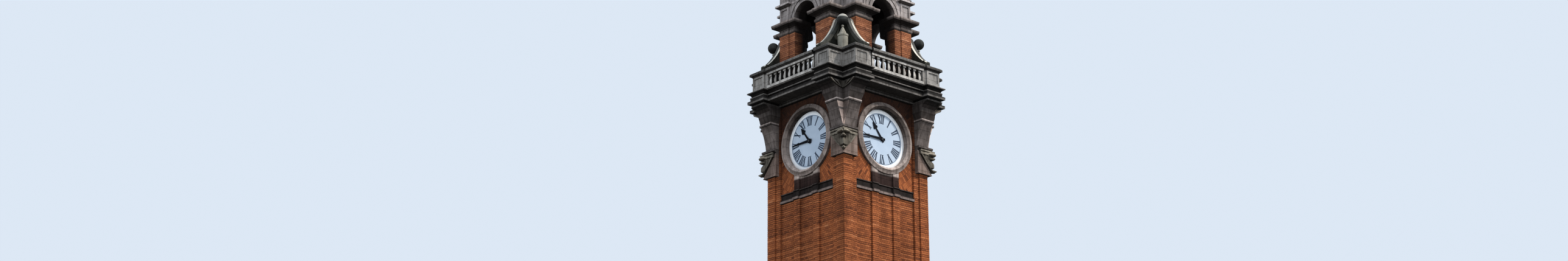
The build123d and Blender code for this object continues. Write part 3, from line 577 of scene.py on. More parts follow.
def lead_material():
    """Grey lead with runs of rain and the seams of its sheets."""
    made, tree, shader, coords = new_material("weathered lead", 0.55)
    tone = ramp(tree, noise(tree, coords, 1.4, 6.0, 0.6),
                [(0.3, (0.12, 0.135, 0.14)), (0.55, (0.23, 0.25, 0.25)), (0.75, (0.36, 0.38, 0.37))])
    streak = noise(tree, stretched(tree, coords, (7.0, 7.0, 0.6)), 1.0, 3.0)
    sheet = mixed(tree, 0.5, tone, ramp(tree, streak, [(0.4, (0.10, 0.11, 0.11)), (0.6, (0.40, 0.42, 0.41))]))
    seam = below(tree, parts_of(tree, coords)["Z"], LEAD_SHEET, LEAD_SEAM)
    colour_and_bump(tree, shader, mixed(tree, seam, sheet, (0.055, 0.060, 0.062)),
                    calc(tree, "SUBTRACT", noise(tree, coords, 14.0, 5.0), seam), 0.004)
    return made


def oak_material():
    """Dark boards side by side."""
    made, tree, shader, coords = new_material("dark oak", 0.6)
    grain = noise(tree, stretched(tree, coords, (38.0, 38.0, 1.6)), 1.0, 6.0, 0.6)
    wood = ramp(tree, grain, [(0.3, (0.022, 0.013, 0.008)), (0.5, (0.060, 0.034, 0.019)),
                              (0.7, (0.110, 0.066, 0.038))])
    across = calc(tree, "ADD", parts_of(tree, coords)["X"], DOOR_HALF)
    groove = below(tree, across, 2 * DOOR_HALF / DOOR_BOARDS, BOARD_GROOVE)
    colour_and_bump(tree, shader, mixed(tree, groove, wood, (0.008, 0.005, 0.004)),
                    calc(tree, "SUBTRACT", grain, product(tree, groove, 4.0)), 0.002)
    return made


black_paint = paint_material("black paint", (0.004, 0.005, 0.007), (0.009, 0.010, 0.014), 0.7, 0.05)
numeral_paint = paint_material("numeral paint", (0.028, 0.043, 0.072), (0.058, 0.080, 0.118), 0.6, 0.2)
weathered_lead = lead_material()
dark_oak = oak_material()
print("finishes", len(bpy.data.materials))

# %% [markdown]
# ## Dressing the CAD nodes
#
# Each solid has a material slot in the record. The slot picks the finish, so no node is left bare. A few
# nodes of the same stone have their own weathering and their own painted light and shade, so they are named
# beside their finish.

# %% Materials on the frame's nodes
FINISH = {"brick": brick_backing, "stone": brown_stone, "pale_stone": baluster_stone, "oak": dark_oak,
          "dial_glass": dial_glass, "black_iron": black_paint, "lead": weathered_lead}
OWN_FINISH = {"main_cornice": cornice_stone, "roof_cornice": sooty_stone, "string_courses": string_stone,
              "scroll_buttresses": wing_stone, "dial_surrounds": ring_stone, "ball_finials": slate_stone,
              "corner_brackets": bracket_stone, "corner_pedestals": pedestal_stone, "imposts": impost_stone}
OWN_FINISH.update({f"belfry_arch_{side}": arch_stone for side in SIDES})


def dress(body, finish):
    """One finish in place of whatever the body has."""
    body.data.materials.clear()
    body.data.materials.append(finish)


for part in frame["record"]["subparts"]:
    node = part["node"]
    dress(frame["nodes"][node], OWN_FINISH.get(node, FINISH[part["material_slot"]]))
floor_material, floor_tree, floor_shader, floor_coords = new_material("pale floor", 0.8)
colour_and_bump(floor_tree, floor_shader, ramp(floor_tree, noise(floor_tree, floor_coords, 0.5),
                                               [(0.3, (0.50, 0.50, 0.49)), (0.7, (0.56, 0.56, 0.55))]))
dress(floor, floor_material)

# %% [markdown]
# ## Courses of brick
#
# A wall has thousands of bricks and one rule, which is what Geometry Nodes are for. The tree below fills
# one flat face: it makes a point for each brick, works out from the point's number which course it is in
# and where it lies, cuts the end bricks at the face's edges, and puts a scaled box on each. The other way
# would be an Array modifier, but that can't cut the end bricks or mix stretchers and headers. In about two
# courses in five the lime mortar has been washed out and the edges of the bricks have gone with it, so
# those joints are wider.

# %% The brick tree
WORN_COURSES = 0.38
LEAST_WIDTH, LEAST_HEIGHT = 0.012, 0.008
WOBBLE = 0.0015
DECAY_SEED, COURSE_SEED, TINT_SEED_SHIFT = 9, 5, 77.0
OWN_SHARE, COURSE_SHARE, HEADER_BURN = 0.54, 0.46, 0.35
INPUTS = ("Width", "Height", "Brick Length", "Brick Height", "Joint", "Worn Joint", "Depth", "Header Every",
          "Seed")


def chance(tree, low, high, number, seed):
    """A random value that is the same for the same number."""
    return add(tree, "FunctionNodeRandomValue", {"Min": low, "Max": high, "ID": number,
                                                 "Seed": seed}).outputs["Value"]


def brick_tree(finish):
    """Bricks over a face with x along it, y outwards and z up, standing proud by half their depth."""
    tree = bpy.data.node_groups.new("brick courses", "GeometryNodeTree")
    names = {}
    for name in INPUTS:
        kind = "NodeSocketInt" if name == "Seed" else "NodeSocketFloat"
        names[name] = tree.interface.new_socket(name=name, in_out="INPUT", socket_type=kind).identifier
    tree.interface.new_socket(name="Bricks", in_out="OUTPUT", socket_type="NodeSocketGeometry")
    given = add(tree, "NodeGroupInput").outputs
    width, height, length, rise, joint, worn, depth, every, seed = (given[name] for name in INPUTS)

    # the widest grid that the face can need, which is one of headers
    header = product(tree, calc(tree, "SUBTRACT", length, joint), 0.5)
    header_pitch = calc(tree, "ADD", header, joint)
    gauge = calc(tree, "ADD", rise, joint)
    columns = calc(tree, "ADD", calc(tree, "CEIL", calc(tree, "DIVIDE", width, header_pitch)), 2.0)
    rows = calc(tree, "CEIL", calc(tree, "DIVIDE", height, gauge))
    points = add(tree, "GeometryNodePoints", {"Count": product(tree, columns, rows)})

    # which course a brick is in, and where in it
    index = add(tree, "GeometryNodeInputIndex").outputs[0]
    row = calc(tree, "FLOOR", calc(tree, "DIVIDE", calc(tree, "ADD", index, 0.5), columns))
    column = calc(tree, "SUBTRACT", index, product(tree, row, columns))
    is_header = calc(tree, "LESS_THAN", calc(tree, "MODULO", row, every), 0.5)
    shift = calc(tree, "MAXIMUM", is_header, calc(tree, "MODULO", row, 2.0))
    brick = calc(tree, "ADD", length, product(tree, is_header, calc(tree, "SUBTRACT", header, length)))
    place = calc(tree, "ADD", calc(tree, "SUBTRACT", column, 0.5), product(tree, shift, 0.5))
    centre = product(tree, place, calc(tree, "ADD", brick, joint))

    # its edges, cut where the face ends, and lower where the course is worn
    half = product(tree, brick, 0.5)
    left = calc(tree, "MAXIMUM", calc(tree, "SUBTRACT", centre, half), 0.0)
    right = calc(tree, "MINIMUM", calc(tree, "ADD", centre, half), width)
    bottom = calc(tree, "ADD", product(tree, row, gauge), product(tree, joint, 0.5))
    lost = product(tree, calc(tree, "LESS_THAN", chance(tree, 0.0, 1.0, row, DECAY_SEED), WORN_COURSES), worn)
    top = calc(tree, "MINIMUM", calc(tree, "SUBTRACT", calc(tree, "ADD", bottom, rise), lost), height)
    wide = calc(tree, "SUBTRACT", right, left)
    tall = calc(tree, "SUBTRACT", top, bottom)
    kept = product(tree, calc(tree, "GREATER_THAN", wide, LEAST_WIDTH),
                   calc(tree, "GREATER_THAN", tall, LEAST_HEIGHT))
    middle = add(tree, "ShaderNodeCombineXYZ", {
        "X": product(tree, calc(tree, "ADD", left, right), 0.5),
        "Y": chance(tree, -WOBBLE, WOBBLE, index, seed),
        "Z": product(tree, calc(tree, "ADD", bottom, top), 0.5)})

    # its tint: partly its own, partly its course's, and darker for a header
    own = chance(tree, 0.0, 1.0, index, calc(tree, "ADD", seed, TINT_SEED_SHIFT))
    value = calc(tree, "MULTIPLY_ADD", own, OWN_SHARE,
                 product(tree, chance(tree, 0.0, 1.0, row, COURSE_SEED), COURSE_SHARE))
    tint = product(tree, value, calc(tree, "SUBTRACT", 1.0, product(tree, is_header, HEADER_BURN)))

    # a box of its size on its point
    named = add(tree, "GeometryNodeStoreNamedAttribute", {"Geometry": points.outputs[0], "Name": "tint",
                                                          "Value": tint}, data_type="FLOAT", domain="POINT")
    placed = add(tree, "GeometryNodeSetPosition", {"Geometry": named.outputs[0],
                                                   "Position": middle.outputs[0]})
    size = add(tree, "ShaderNodeCombineXYZ", {"X": wide, "Y": depth, "Z": tall}).outputs[0]
    box = add(tree, "GeometryNodeMeshCube", {"Size": (1, 1, 1)})
    laid = add(tree, "GeometryNodeInstanceOnPoints", {"Points": placed.outputs[0], "Instance": box.outputs[0],
                                                      "Selection": kept, "Scale": size})
    real = add(tree, "GeometryNodeRealizeInstances", {"Geometry": laid.outputs[0]})
    finished = add(tree, "GeometryNodeSetMaterial", {"Geometry": real.outputs[0], "Material": finish})
    tree.links.new(finished.outputs[0], add(tree, "NodeGroupOutput").inputs[0])
    return tree, names


courses, course_inputs = brick_tree(facing_brick)
print("nodes in the brick tree", len(courses.nodes))

# %% [markdown]
# One face is a run between two plan points, walked with the open air on the left. The tree fills it in its
# own flat space, and a matrix lays the result on the wall. All the faces of one wall are joined in one
# piece.

# %% Laying bricks on one face
PROUD = 0.006
WORN_JOINT = 0.013
HEADER_COURSE_EVERY = 4.0


def lay_face(start, end, low, high, depth, seed):
    """A mesh of the bricks of one face; depth is how far they reach behind it."""
    start, end = Vector((*start, low)), Vector((*end, low))
    along = (end - start).normalized()
    outward = Vector((-along.y, along.x, 0))
    carrier = bpy.data.objects.new("face", bpy.data.meshes.new("face"))
    bpy.context.collection.objects.link(carrier)
    laying = carrier.modifiers.new("courses", "NODES")
    laying.node_group = courses
    values = ((end - start).length, high - low, BRICK_LENGTH, GAUGE - JOINT, JOINT, WORN_JOINT, depth + PROUD,
              HEADER_COURSE_EVERY, seed)
    for name, value in zip(INPUTS, values):
        laying[course_inputs[name]] = value
    evaluated = carrier.evaluated_get(bpy.context.evaluated_depsgraph_get())
    mesh = bpy.data.meshes.new_from_object(evaluated)
    bpy.data.objects.remove(carrier)
    turn = Matrix((along, outward, Vector((0, 0, 1)))).transposed().to_4x4()
    mesh.transform(Matrix.Translation(start + outward * (PROUD - depth) / 2) @ turn)
    return mesh


print("bricks stand proud by", PROUD)

# %% Joining meshes in one piece
TAU = 2 * math.pi
seeds = iter(range(1, 400))
brick_count = 0


def piece_from(name, meshes, finish, angles=(0,)):
    """One piece of the tower from several meshes, each copied to the given angles about the tower's axis."""
    joined = bmesh.new()
    for mesh in meshes:
        for angle in angles:
            copy = mesh.copy()
            copy.transform(Matrix.Rotation(math.radians(angle), 4, "Z"))
            joined.from_mesh(copy)
            bpy.data.meshes.remove(copy)
    data = bpy.data.meshes.new(name)
    joined.to_mesh(data)
    joined.free()
    made = bpy.data.objects.new(name, data)
    dress(made, finish)
    for face in data.polygons:
        face.material_index = 0
    bpy.context.collection.objects.link(made)
    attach(made, "tower")
    return made


def brickwork(name, meshes, angle):
    """A piece of bricks; it returns how many there are, at six faces each."""
    made = piece_from(name, meshes, facing_brick, (angle,))
    return len(made.data.polygons) // 6


def snapped(height):
    """The bed joint next below a height, so that all courses line up."""
    return PLINTH_TOP + math.floor((height - PLINTH_TOP) / GAUGE) * GAUGE


print("first bed joint over one metre", round(snapped(1.0) + GAUGE, 3))

# %% [markdown]
# Each side of the shaft is a panel with two flat strips that stand out from it. Only the front has a
# doorway, so its middle courses start above the door's head.

# %% Shaft walls
STRIP_INNER, STRIP_OUTER, STRIP_DEPTH = 0.375, 0.675, 0.07
SLIP, DOOR_LAP = 0.012, 0.1
STRIP_FACE = -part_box("shaft_wall_back")[1].y
PANEL_FACE = STRIP_FACE + STRIP_DEPTH
DOOR_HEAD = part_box("door_surround")[1].z


def shaft_faces(low):
    """The faces of one shaft wall, drawn at the front; low is where the middle ones start."""
    runs = [(STEP_EDGE, STRIP_OUTER, PANEL_FACE, SLIP, PLINTH_TOP),
            (-STRIP_OUTER, -STEP_EDGE, PANEL_FACE, SLIP, PLINTH_TOP),
            (STRIP_INNER, -STRIP_INNER, PANEL_FACE, SLIP, low),
            (STRIP_OUTER + PROUD, STRIP_INNER - PROUD, STRIP_FACE, STRIP_DEPTH, low),
            (-STRIP_INNER + PROUD, -STRIP_OUTER - PROUD, STRIP_FACE, STRIP_DEPTH, low)]
    return [lay_face((a, y), (b, y), start, SHAFT_TOP, depth, next(seeds)) for a, b, y, depth, start in runs]


for side, angle in SIDES.items():
    low = snapped(DOOR_HEAD - DOOR_LAP) if side == "front" else PLINTH_TOP
    brick_count += brickwork(f"bricks_shaft_{side}", shaft_faces(low), angle)
print("bricks in the shaft walls", brick_count)

# %% [markdown]
# The corner piers turn the corner in steps: a pilaster on each face and a shallower step beside it. The
# bricks of the front face run through the corner, and those of the side face stop against them, as real
# ones toothed into each other would.

# %% Corner piers
PILASTER_EDGE = 1.70
PILASTER_BRICK, STEP_BRICK = 0.06, 0.07


def pier_faces():
    """The step and pilaster of the front face, then those of the side face."""
    half, step = SHAFT_HALF, STEP_FACE
    runs = [((-STEP_EDGE + PROUD, -step), (-PILASTER_EDGE + PROUD, -step), STEP_BRICK),
            ((-PILASTER_EDGE + PROUD, -half), (-half - PROUD, -half), PILASTER_BRICK),
            ((-half, -half + PILASTER_BRICK + JOINT), (-half, -PILASTER_EDGE + PROUD), PILASTER_BRICK),
            ((-step, -PILASTER_EDGE + PROUD), (-step, -STEP_EDGE + PROUD), STEP_BRICK)]
    return [lay_face(start, end, PLINTH_TOP, WALL_HEAD, depth, next(seeds)) for start, end, depth in runs]


for corner, angle in CORNERS.items():
    brick_count += brickwork(f"bricks_pier_{corner}", pier_faces(), angle)
print("with the corner piers", brick_count)

# %% [markdown]
# The belfry piers have a pilaster and a strip on each face, a jamb beside the opening, and a flank in the
# notch of the cross. The side face mirrors the front one across the diagonal, which swaps x and y and also
# the two ends of each run, so that the open air stays on the left.

# %% Belfry piers
ARM_HALF, ARM_PILASTER, BELFRY_OPENING = 1.42, 0.92, 0.60
ARM_STEP, JAMB_DEPTH = 0.04, 0.54


def belfry_faces():
    """The jamb, strip, pilaster and flank of the front face, then those of the side face."""
    low, high = snapped(BELFRY_FLOOR) + GAUGE, IMPOST_BOTTOM
    half, strip, jamb = SHAFT_HALF, SHAFT_HALF - ARM_STEP, SHAFT_HALF - JAMB_DEPTH
    front = [((-BELFRY_OPENING, -jamb), (-BELFRY_OPENING, -strip), SLIP),
             ((-BELFRY_OPENING + PROUD, -strip), (-ARM_PILASTER + PROUD, -strip), SLIP),
             ((-ARM_PILASTER + PROUD, -half), (-ARM_HALF - PROUD, -half), ARM_STEP),
             ((-ARM_HALF, -half + ARM_STEP + JOINT), (-ARM_HALF, -ARM_HALF), SLIP)]
    side = [(end[::-1], start[::-1], depth) for start, end, depth in front]
    return [lay_face(start, end, low, high, depth, next(seeds)) for start, end, depth in front + side]


for corner, angle in CORNERS.items():
    brick_count += brickwork(f"bricks_belfry_{corner}", belfry_faces(), angle)
print("with the belfry piers", brick_count)

# %% [markdown]
# ## Numerals on the dials
#
# The hours are Roman numerals with their feet towards the centre, so each letter widens outwards like a
# slice of the dial. A text object could be bent round, but its strokes would keep one width. Here each
# stroke is drawn on a flat ruler, where u runs round the dial and v goes from the inner to the outer end,
# and the ruler is then rolled round the centre. Four is written IIII, as on most tower clocks.

# %% Plates and dial places
HAND_GAP = 0.016
DIAL_FACE = -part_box("hour_hand_front")[1].y - HAND_GAP
NUMERAL_INNER, NUMERAL_OUTER = 0.600, 0.950


def slab(shape, outline, back, front):
    """A closed plate in front of the front wall, from an outline in x and z, between two depths."""
    near = [shape.verts.new((x, -front, z)) for x, z in outline]
    far = [shape.verts.new((x, -back, z)) for x, z in outline]
    shape.faces.new(near)
    shape.faces.new(far[::-1])
    for i in range(len(outline)):
        shape.faces.new((near[i - 1], far[i - 1], far[i], near[i]))


def mesh_of(shape, name):
    """A mesh from the shape, with every face turned outwards."""
    bmesh.ops.recalc_face_normals(shape, faces=shape.faces[:])
    data = bpy.data.meshes.new(name)
    shape.to_mesh(data)
    shape.free()
    return data


def on_dial(angle, u, v):
    """The x and z of a point of the ruler, for a numeral at this angle clockwise from twelve."""
    radius = NUMERAL_INNER + (NUMERAL_OUTER - NUMERAL_INNER) * v
    turn = angle + 2 * u / (NUMERAL_INNER + NUMERAL_OUTER)
    return radius * math.sin(turn), DIAL_HEIGHT + radius * math.cos(turn)


print("dial face at", round(DIAL_FACE, 4))

# %% Numeral strokes
THICK, THIN, SERIF, PAINT, LIFT = 0.052, 0.027, 0.018, 0.003, 0.001
STROKE_FOOT, STROKE_HEAD, SERIF_STEPS = 0.02, 0.98, 5
NUMERALS = ("I", "II", "III", "IIII", "V", "VI", "VII", "VIII", "IX", "X", "XI", "XII")
LETTERS = {"I": (0.078, [(0.0, 0.0, THICK)]),
           "V": (0.140, [(0.0, -0.048, THICK), (0.006, 0.052, THIN)]),
           "X": (0.145, [(0.045, -0.045, THICK), (-0.050, 0.050, THIN)])}


def serif(angle, half, low, high):
    """The outline of a bar across a numeral's end, bent round the dial in short steps."""
    steps = [half * (2 * i / SERIF_STEPS - 1) for i in range(SERIF_STEPS + 1)]
    return [on_dial(angle, u, low) for u in steps] + [on_dial(angle, u, high) for u in reversed(steps)]


def numerals():
    """The twelve numerals of one dial; the strokes stand a hair further out than the serifs they cross."""
    shape = bmesh.new()
    serif_height = SERIF / (NUMERAL_OUTER - NUMERAL_INNER)
    for hour, text in enumerate(NUMERALS, start=1):
        angle = math.radians(30 * hour)
        width = sum(LETTERS[letter][0] for letter in text)
        centre = -width / 2
        for letter in text:
            own, strokes = LETTERS[letter]
            centre += own / 2
            for foot, head, thick in strokes:
                low, high = centre + foot, centre + head
                slab(shape, [on_dial(angle, low - thick / 2, STROKE_FOOT),
                             on_dial(angle, low + thick / 2, STROKE_FOOT),
                             on_dial(angle, high + thick / 2, STROKE_HEAD),
                             on_dial(angle, high - thick / 2, STROKE_HEAD)],
                     DIAL_FACE - PAINT + LIFT, DIAL_FACE + PAINT + LIFT)
            centre += own / 2
        for low in (0.0, 1.0 - serif_height):
            bar = serif(angle, width / 2, low, low + serif_height)
            slab(shape, bar, DIAL_FACE - PAINT, DIAL_FACE + PAINT)
    return mesh_of(shape, "numerals")


numeral_piece = piece_from("dial_numerals", [numerals()], numeral_paint, SIDES.values())
print("numeral faces", len(numeral_piece.data.polygons))

# %% [markdown]
# A thin ring closes the band of numerals towards the white rim. It is a square profile swept round the
# centre, which is quick to write as one loop of quads.

# %% Dial rings
RING_INNER, RING_OUTER, RING_SUNK, RING_STEPS = 0.960, 0.972, 0.002, 96


def ring(shape, centre, inner, outer, back, front, count):
    """A closed flat ring in front of the front wall, round a centre in x and z."""
    loops = []
    for i in range(count):
        turn = TAU * i / count
        loops.append([shape.verts.new((centre[0] + r * math.sin(turn), -y, centre[1] + r * math.cos(turn)))
                      for r, y in ((inner, back), (outer, back), (outer, front), (inner, front))])
    for i in range(count):
        for k in range(4):
            shape.faces.new((loops[i - 1][k - 1], loops[i - 1][k], loops[i][k], loops[i][k - 1]))


dial_ring = bmesh.new()
ring(dial_ring, (0, DIAL_HEIGHT), RING_INNER, RING_OUTER, DIAL_FACE - RING_SUNK, DIAL_FACE + PAINT,
     RING_STEPS)
ring_mesh = mesh_of(dial_ring, "ring")
ring_piece = piece_from("dial_rings", [ring_mesh], numeral_paint, SIDES.values())
print("ring faces", len(ring_piece.data.polygons))

# %% [markdown]
# ## Brick rings round the dials
#
# The brick beside a dial follows its stone ring: courses of narrow bricks on edge, fanned out like the
# stones of an arch and cut off at the piers. Every brick is a wedge between two radii and two angles,
# clipped to the wall's outline.

# %% Fanned bricks
STONE_RING, APRON_HALF, FAN_REACH = 1.36, 0.67, 2.2
FAN_EDGE, FAN_BED, FAN_DEPTH, PALEST = 0.008, 0.005, 0.008, 0.8


def clipped(outline, axis, limit, sign):
    """The part of an outline that is inside a limit along one axis."""
    kept = []
    for first, second in zip(outline, outline[1:] + outline[:1]):
        a, b = sign * (limit - first[axis]), sign * (limit - second[axis])
        if a >= 0:
            kept.append(first)
        if (a >= 0) != (b >= 0):
            kept.append(tuple(p + (q - p) * a / (a - b) for p, q in zip(first, second)))
    return kept


def fanned_bricks(seed):
    """Rings of wedges round one dial, without those behind the apron under it."""
    draw = random.Random(seed)
    shape = bmesh.new()
    tints = []
    low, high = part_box("string_courses")[1].z + FAN_BED, WALL_HEAD - FAN_BED
    edge = STEP_EDGE - FAN_EDGE
    inner = STONE_RING + JOINT
    while inner < FAN_REACH:
        outer = inner + BRICK_LENGTH
        count = round(TAU * (inner + outer) / 2 / GAUGE)
        for i in range(count):
            turn, half = TAU * (i + 0.5) / count, math.pi / count
            wedge = []
            for radius, side in ((inner, -1), (inner, 1), (outer, 1), (outer, -1)):
                angle = turn + side * (half - JOINT / 2 / radius)
                wedge.append((radius * math.sin(angle), DIAL_HEIGHT + radius * math.cos(angle)))
            for axis, limit, sign in ((0, edge, 1), (0, -edge, -1), (1, high, 1), (1, low, -1)):
                wedge = clipped(wedge, axis, limit, sign) if wedge else wedge
            middle = abs(math.sin(turn)) * (inner + outer) / 2
            if len(wedge) > 2 and not (middle < APRON_HALF and math.cos(turn) < 0):
                slab(shape, wedge, DIAL_WALL_FACE - FAN_DEPTH, DIAL_WALL_FACE + PROUD)
                tints += [draw.random() * PALEST] * (2 * len(wedge))
        inner = outer + JOINT
    mesh = mesh_of(shape, "fan")
    mesh.attributes.new("tint", "FLOAT", "POINT").data.foreach_set("value", tints)
    return mesh


for number, (side, angle) in enumerate(SIDES.items()):
    brick_count += brickwork(f"bricks_dial_{side}", [fanned_bricks(number)], angle)
print("bricks in all", brick_count)

# %% [markdown]
# ## Carving at the corners
#
# A shield wraps round the corner under each bracket: a folded ribbon along its top, a bow and a boss on the
# corner, and a curl at the point. Above it, a pair of leaves fills the notch under the cornice. Carving
# could be sculpted by hand, but a rule is easier to change: a grid follows both walls and meets at the
# corner, and a few smooth bumps say how far each point stands out. The same number is kept on the mesh, so
# that the material can put soot and painted shade in the hollows and a painted highlight on the ridges.

# %% A carved grid round a corner
CORNER_SPREAD, CARVING_BACK = 0.3, -0.02


def carving(name, place, half_at, relief, top, bottom, rows, columns, deepest):
    """A closed sheet over both walls of the front-left corner; heights are from the dials' centre."""
    shape = bmesh.new()
    fronts, backs, wear = [], [], []
    for j in range(rows + 1):
        z = top + (bottom - top) * j / rows
        half = half_at(z)
        front, back = [], []
        for i in range(-columns, columns + 1):
            s = abs(i) / columns * half
            for row, depth in ((front, relief(s, z, half)), (back, CARVING_BACK)):
                along, near = place(s, depth)
                x, y = (along, near) if i >= 0 else (near, along)
                row.append(shape.verts.new((-x, -y, DIAL_HEIGHT + z)))
                wear.append(max(0.0, min(1.0, depth / deepest)))
        fronts.append(front)
        backs.append(back)
    for grid in (fronts, backs):
        for j in range(rows):
            for i in range(2 * columns):
                shape.faces.new((grid[j][i], grid[j][i + 1], grid[j + 1][i + 1], grid[j + 1][i]))
    rims = []
    for grid in (fronts, backs):
        right, left = [row[-1] for row in grid[1:-1]], [row[0] for row in grid[-2:0:-1]]
        rims.append(grid[0] + right + grid[-1][::-1] + left)
    for i in range(len(rims[0])):
        shape.faces.new((rims[0][i - 1], rims[0][i], rims[1][i], rims[1][i - 1]))
    mesh = mesh_of(shape, name)
    # the relief depth, which the material turns into soot and painted shade in the hollows and a painted highlight
    # on the ridges
    mesh.attributes.new("wear", "FLOAT", "POINT").data.foreach_set("value", wear)
    return mesh


def hump(s, z, at_s, at_z, wide, tall):
    """A soft bump that fades out."""
    return math.exp(-((s - at_s) / wide) ** 2 - ((z - at_z) / tall) ** 2)


def boss(s, z, at_s, at_z, wide, tall):
    """A round bump with a clear edge."""
    return math.sqrt(max(0.0, 1 - ((s - at_s) / wide) ** 2 - ((z - at_z) / tall) ** 2))


print("a carving reaches", -CARVING_BACK, "into the stone")

# %% [markdown]
# The shield narrows in straight lines to its point and has a raised rim. The boss sits in a deep hollow,
# which makes the dark eye that the photograph shows. In these rules s is the distance from the corner along
# the wall.

# %% Shields
SHIELD_FACE = SHAFT_HALF + 0.11
SHIELD_TOP, SHIELD_POINT, SHIELD_HALF = -0.125, -0.96, 0.60
RIBBON_FOOT, TAPER_TOP, TAPER, RIBBON_LAP = -0.31, -0.30, 0.93, 0.025
LEAST_RELIEF, BULGE = 0.012, 0.020
# each bump has its form and depth, its place along the wall and in height, and its half width and height
SHIELD_BUMPS = [(hump, -0.085, 0.0, -0.440, 0.190, 0.100),   # the hollow round the boss
                (boss, 0.110, 0.0, -0.410, 0.125, 0.060),    # the boss in it
                (boss, 0.075, 0.12, -0.255, 0.125, 0.065),   # the loops of the bow
                (hump, -0.050, 0.0, -0.250, 0.018, 0.070),   # the crease between them
                (hump, 0.070, 0.0, -0.885, 0.060, 0.040),    # the curl at the point
                (hump, -0.060, 0.0, -0.800, 0.110, 0.030)]   # the crease over the curl
RIBBON_FOLD = (0.42, -0.205, 0.24, 0.016)


def on_corner(s, depth):
    """How far a point is along one wall and out from the other, both from the tower's axis."""
    return SHIELD_FACE - s + depth * max(0.0, 1 - s / CORNER_SPREAD), SHIELD_FACE + depth


def shield_half(z):
    """The shield's half width at a height."""
    fall = max(0.0, (TAPER_TOP - z) / (TAPER_TOP - SHIELD_POINT))
    return SHIELD_HALF * (1 - TAPER * fall) - RIBBON_LAP * (z < RIBBON_FOOT)


def shield_relief(s, z, half):
    """How far the carving stands out."""
    edge = s / half
    depth = 0.060 + BULGE * (1 - edge ** 2)
    if z > RIBBON_FOOT:
        depth += 0.035 - 0.045 * hump(s, z, *RIBBON_FOLD)
    else:
        rim, flutes = 0.030 * (edge > 0.86), 0.010 * math.sin(62 * s) * (edge < 0.80)
        depth += rim + flutes
    depth += sum(gain * form(s, z, *bump) for form, gain, *bump in SHIELD_BUMPS)
    return max(LEAST_RELIEF, depth)


shield_stone = stone_material("carved sandstone", (0.150, 0.134, 0.112), joints=False, weather_and_light=soot_and_shade_by_relief)
shield = carving("shield", on_corner, shield_half, shield_relief, SHIELD_TOP, SHIELD_POINT, rows=42,
                 columns=20, deepest=0.16)
shields = piece_from("carved_shields", [shield], shield_stone, CORNERS.values())
print("shield faces", len(shields.data.polygons))

# %% [markdown]
# The leaves start together low in the notch, part, and reach up to the two corners of the cornice. Their
# rolled edges and the rib between them stand out with a painted highlight, and the hollows between stay dark
# with soot and painted shade.

# %% Leaves in the notches
NOTCH_FACE = SHAFT_HALF + 0.045
LEAF_TOP, LEAF_POINT, LEAF_HALF, LEAF_STEM, LEAF_RISE = 1.665, 1.40, 0.68, 0.02, 0.245
LEAF_RIB = (0.0, 1.60, 0.030, 0.20)
LEAF_FOLDS = [(0.045, 0.52, 1.58, 0.10, 0.06), (-0.025, 0.70, 1.58, 0.06, 0.09),
              (-0.025, 0.25, 1.58, 0.09, 0.09)]


def in_notch(s, depth):
    """The same as on_corner for an inner corner, where the carving grows towards the other wall."""
    return NOTCH_FACE + depth + s * (1 - depth / LEAF_HALF), NOTCH_FACE + depth


def leaf_half(z):
    """The leaves' half width at a height."""
    opened = max(0.0, min(1.0, (z - LEAF_POINT) / LEAF_RISE)) ** 0.66
    return LEAF_STEM + (LEAF_HALF - LEAF_STEM) * opened


def leaf_relief(s, z, half):
    """How far the leaves stand out."""
    edge = s / half
    depth = 0.045 + 0.045 * (edge > 0.82) + 0.060 * hump(s, z, *LEAF_RIB)
    depth += sum(gain * hump(edge, z, *fold) for gain, *fold in LEAF_FOLDS)
    return max(LEAST_RELIEF, depth)


leaf_stone = stone_material("carved leaves", (0.105, 0.094, 0.084), joints=False, weather_and_light=soot_and_shade_by_relief)
leaf = carving("leaf", in_notch, leaf_half, leaf_relief, LEAF_TOP, LEAF_POINT, rows=18, columns=16,
               deepest=0.11)
leaves = piece_from("carved_leaves", [leaf], leaf_stone, CORNERS.values())
print("leaf faces", len(leaves.data.polygons))

# %% [markdown]
# ## Lead on the dome
#
# The dome is covered with sheets of lead. Where two sheets meet, they are dressed over a round wooden roll,
# so a roll runs up each edge of the dome and up the middle of each side. A curve with a bevel would do as
# well. Here rings of points are joined directly, because their places can then be read from the dome
# itself.

# %% Lead rolls
ROLL_RADIUS, ROLL_SIDES, DOME_SIDES = 0.042, 8, 8


def dome_profile():
    """How far the dome's edges reach at each of its heights, from the bottom up."""
    reach = {}
    for vertex in frame["nodes"]["dome"].data.vertices:
        height = round(vertex.co.z, 2)
        reach[height] = max(reach.get(height, 0.0), vertex.co.xy.length)
    return [Vector((far, height)) for height, far in sorted(reach.items())]


def lead_roll(shape, profile, angle, gain):
    """A closed tube up the dome; gain turns the reach of an edge into that of the line followed."""
    outward = Vector((math.cos(angle), math.sin(angle), 0))
    across = Vector((-outward.y, outward.x, 0))
    line = [Vector((far * gain, height)) for far, height in profile]
    rings = []
    for i, (far, height) in enumerate(line):
        along = (line[min(i + 1, len(line) - 1)] - line[max(i - 1, 0)]).normalized()
        normal = outward * along.y - Vector((0, 0, along.x))
        middle = outward * far + Vector((0, 0, height))
        rings.append([shape.verts.new(middle + ROLL_RADIUS * (normal * math.cos(a) + across * math.sin(a)))
                      for a in (TAU * k / ROLL_SIDES for k in range(ROLL_SIDES))])
    for low, high in zip(rings, rings[1:]):
        for k in range(ROLL_SIDES):
            shape.faces.new((low[k - 1], low[k], high[k], high[k - 1]))
    shape.faces.new(rings[0])
    shape.faces.new(rings[-1])


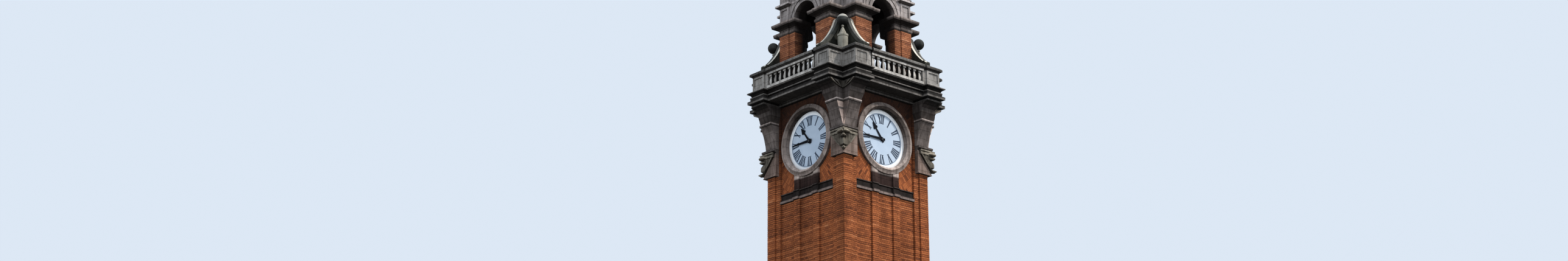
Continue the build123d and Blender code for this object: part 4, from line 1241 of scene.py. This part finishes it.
rolls = bmesh.new()
for side in range(DOME_SIDES):
    lead_roll(rolls, dome_profile(), TAU * (side + 0.5) / DOME_SIDES, 1.0)
    lead_roll(rolls, dome_profile(), TAU * side / DOME_SIDES, math.cos(math.pi / DOME_SIDES))
roll_piece = piece_from("lead_rolls", [mesh_of(rolls, "rolls")], weathered_lead)
print("roll faces", len(roll_piece.data.polygons))

# %% [markdown]
# ## Ironwork of the door
#
# The door is one leaf of upright oak boards. Three iron straps with pointed ends carry it, with a nail
# through each board that they cross, and a ring hangs from a round plate at its free edge. They are cut from
# sheet iron, so they are made as plates with an outline, like the strokes of the numerals.

# %% Straps, nails and ring
DOOR_FACE = -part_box("door")[0].y
STRAP_HEIGHTS, STRAP_HALF, STRAP_TIP, STRAP_START = (0.50, 1.40, 2.30), 0.032, 0.34, 0.02 - DOOR_HALF
POINT_LENGTH, POINT_NECK, POINT_FLARE = 0.15, 0.11, 2.2
NAIL_RADIUS, PLATE_RADIUS, BOLT_RADIUS, NAILS = 0.013, 0.045, 0.014, 6
PLATE_X, PLATE_Z, RING_DROP = DOOR_HALF - 0.13, 1.18, 0.055
# how far each of them reaches out from the door's face
SUNK, STRAP_OUT, NAIL_OUT, PLATE_OUT, BOLT_OUT = -0.002, 0.008, 0.015, 0.010, 0.032


def disc(shape, x, z, radius, back, front, count=8):
    """A flat round plate on the door; back and front count from the door's face."""
    points = [(x + radius * math.sin(TAU * k / count), z + radius * math.cos(TAU * k / count))
              for k in range(count)]
    slab(shape, points, DOOR_FACE + back, DOOR_FACE + front)


iron = bmesh.new()
for height in STRAP_HEIGHTS:
    neck, flare = STRAP_TIP - POINT_LENGTH, STRAP_TIP - POINT_NECK
    lower = [(STRAP_START, -STRAP_HALF), (neck, -STRAP_HALF), (flare, -POINT_FLARE * STRAP_HALF)]
    outline = lower + [(STRAP_TIP, 0.0)] + [(x, -z) for x, z in reversed(lower)]
    slab(iron, [(x, height + z) for x, z in outline], DOOR_FACE + SUNK, DOOR_FACE + STRAP_OUT)
    for board in range(NAILS):
        middle = -DOOR_HALF + (board + 0.5) * 2 * DOOR_HALF / DOOR_BOARDS
        disc(iron, middle, height, NAIL_RADIUS, 0.0, NAIL_OUT)
disc(iron, PLATE_X, PLATE_Z, PLATE_RADIUS, SUNK, PLATE_OUT, 16)
ring(iron, (PLATE_X, PLATE_Z - RING_DROP), 0.050, 0.066, DOOR_FACE + 0.012, DOOR_FACE + 0.026, 24)
disc(iron, PLATE_X, PLATE_Z, BOLT_RADIUS, 0.0, BOLT_OUT)
iron_piece = piece_from("door_ironwork", [mesh_of(iron, "iron")], black_paint)
print("ironwork faces", len(iron_piece.data.polygons))
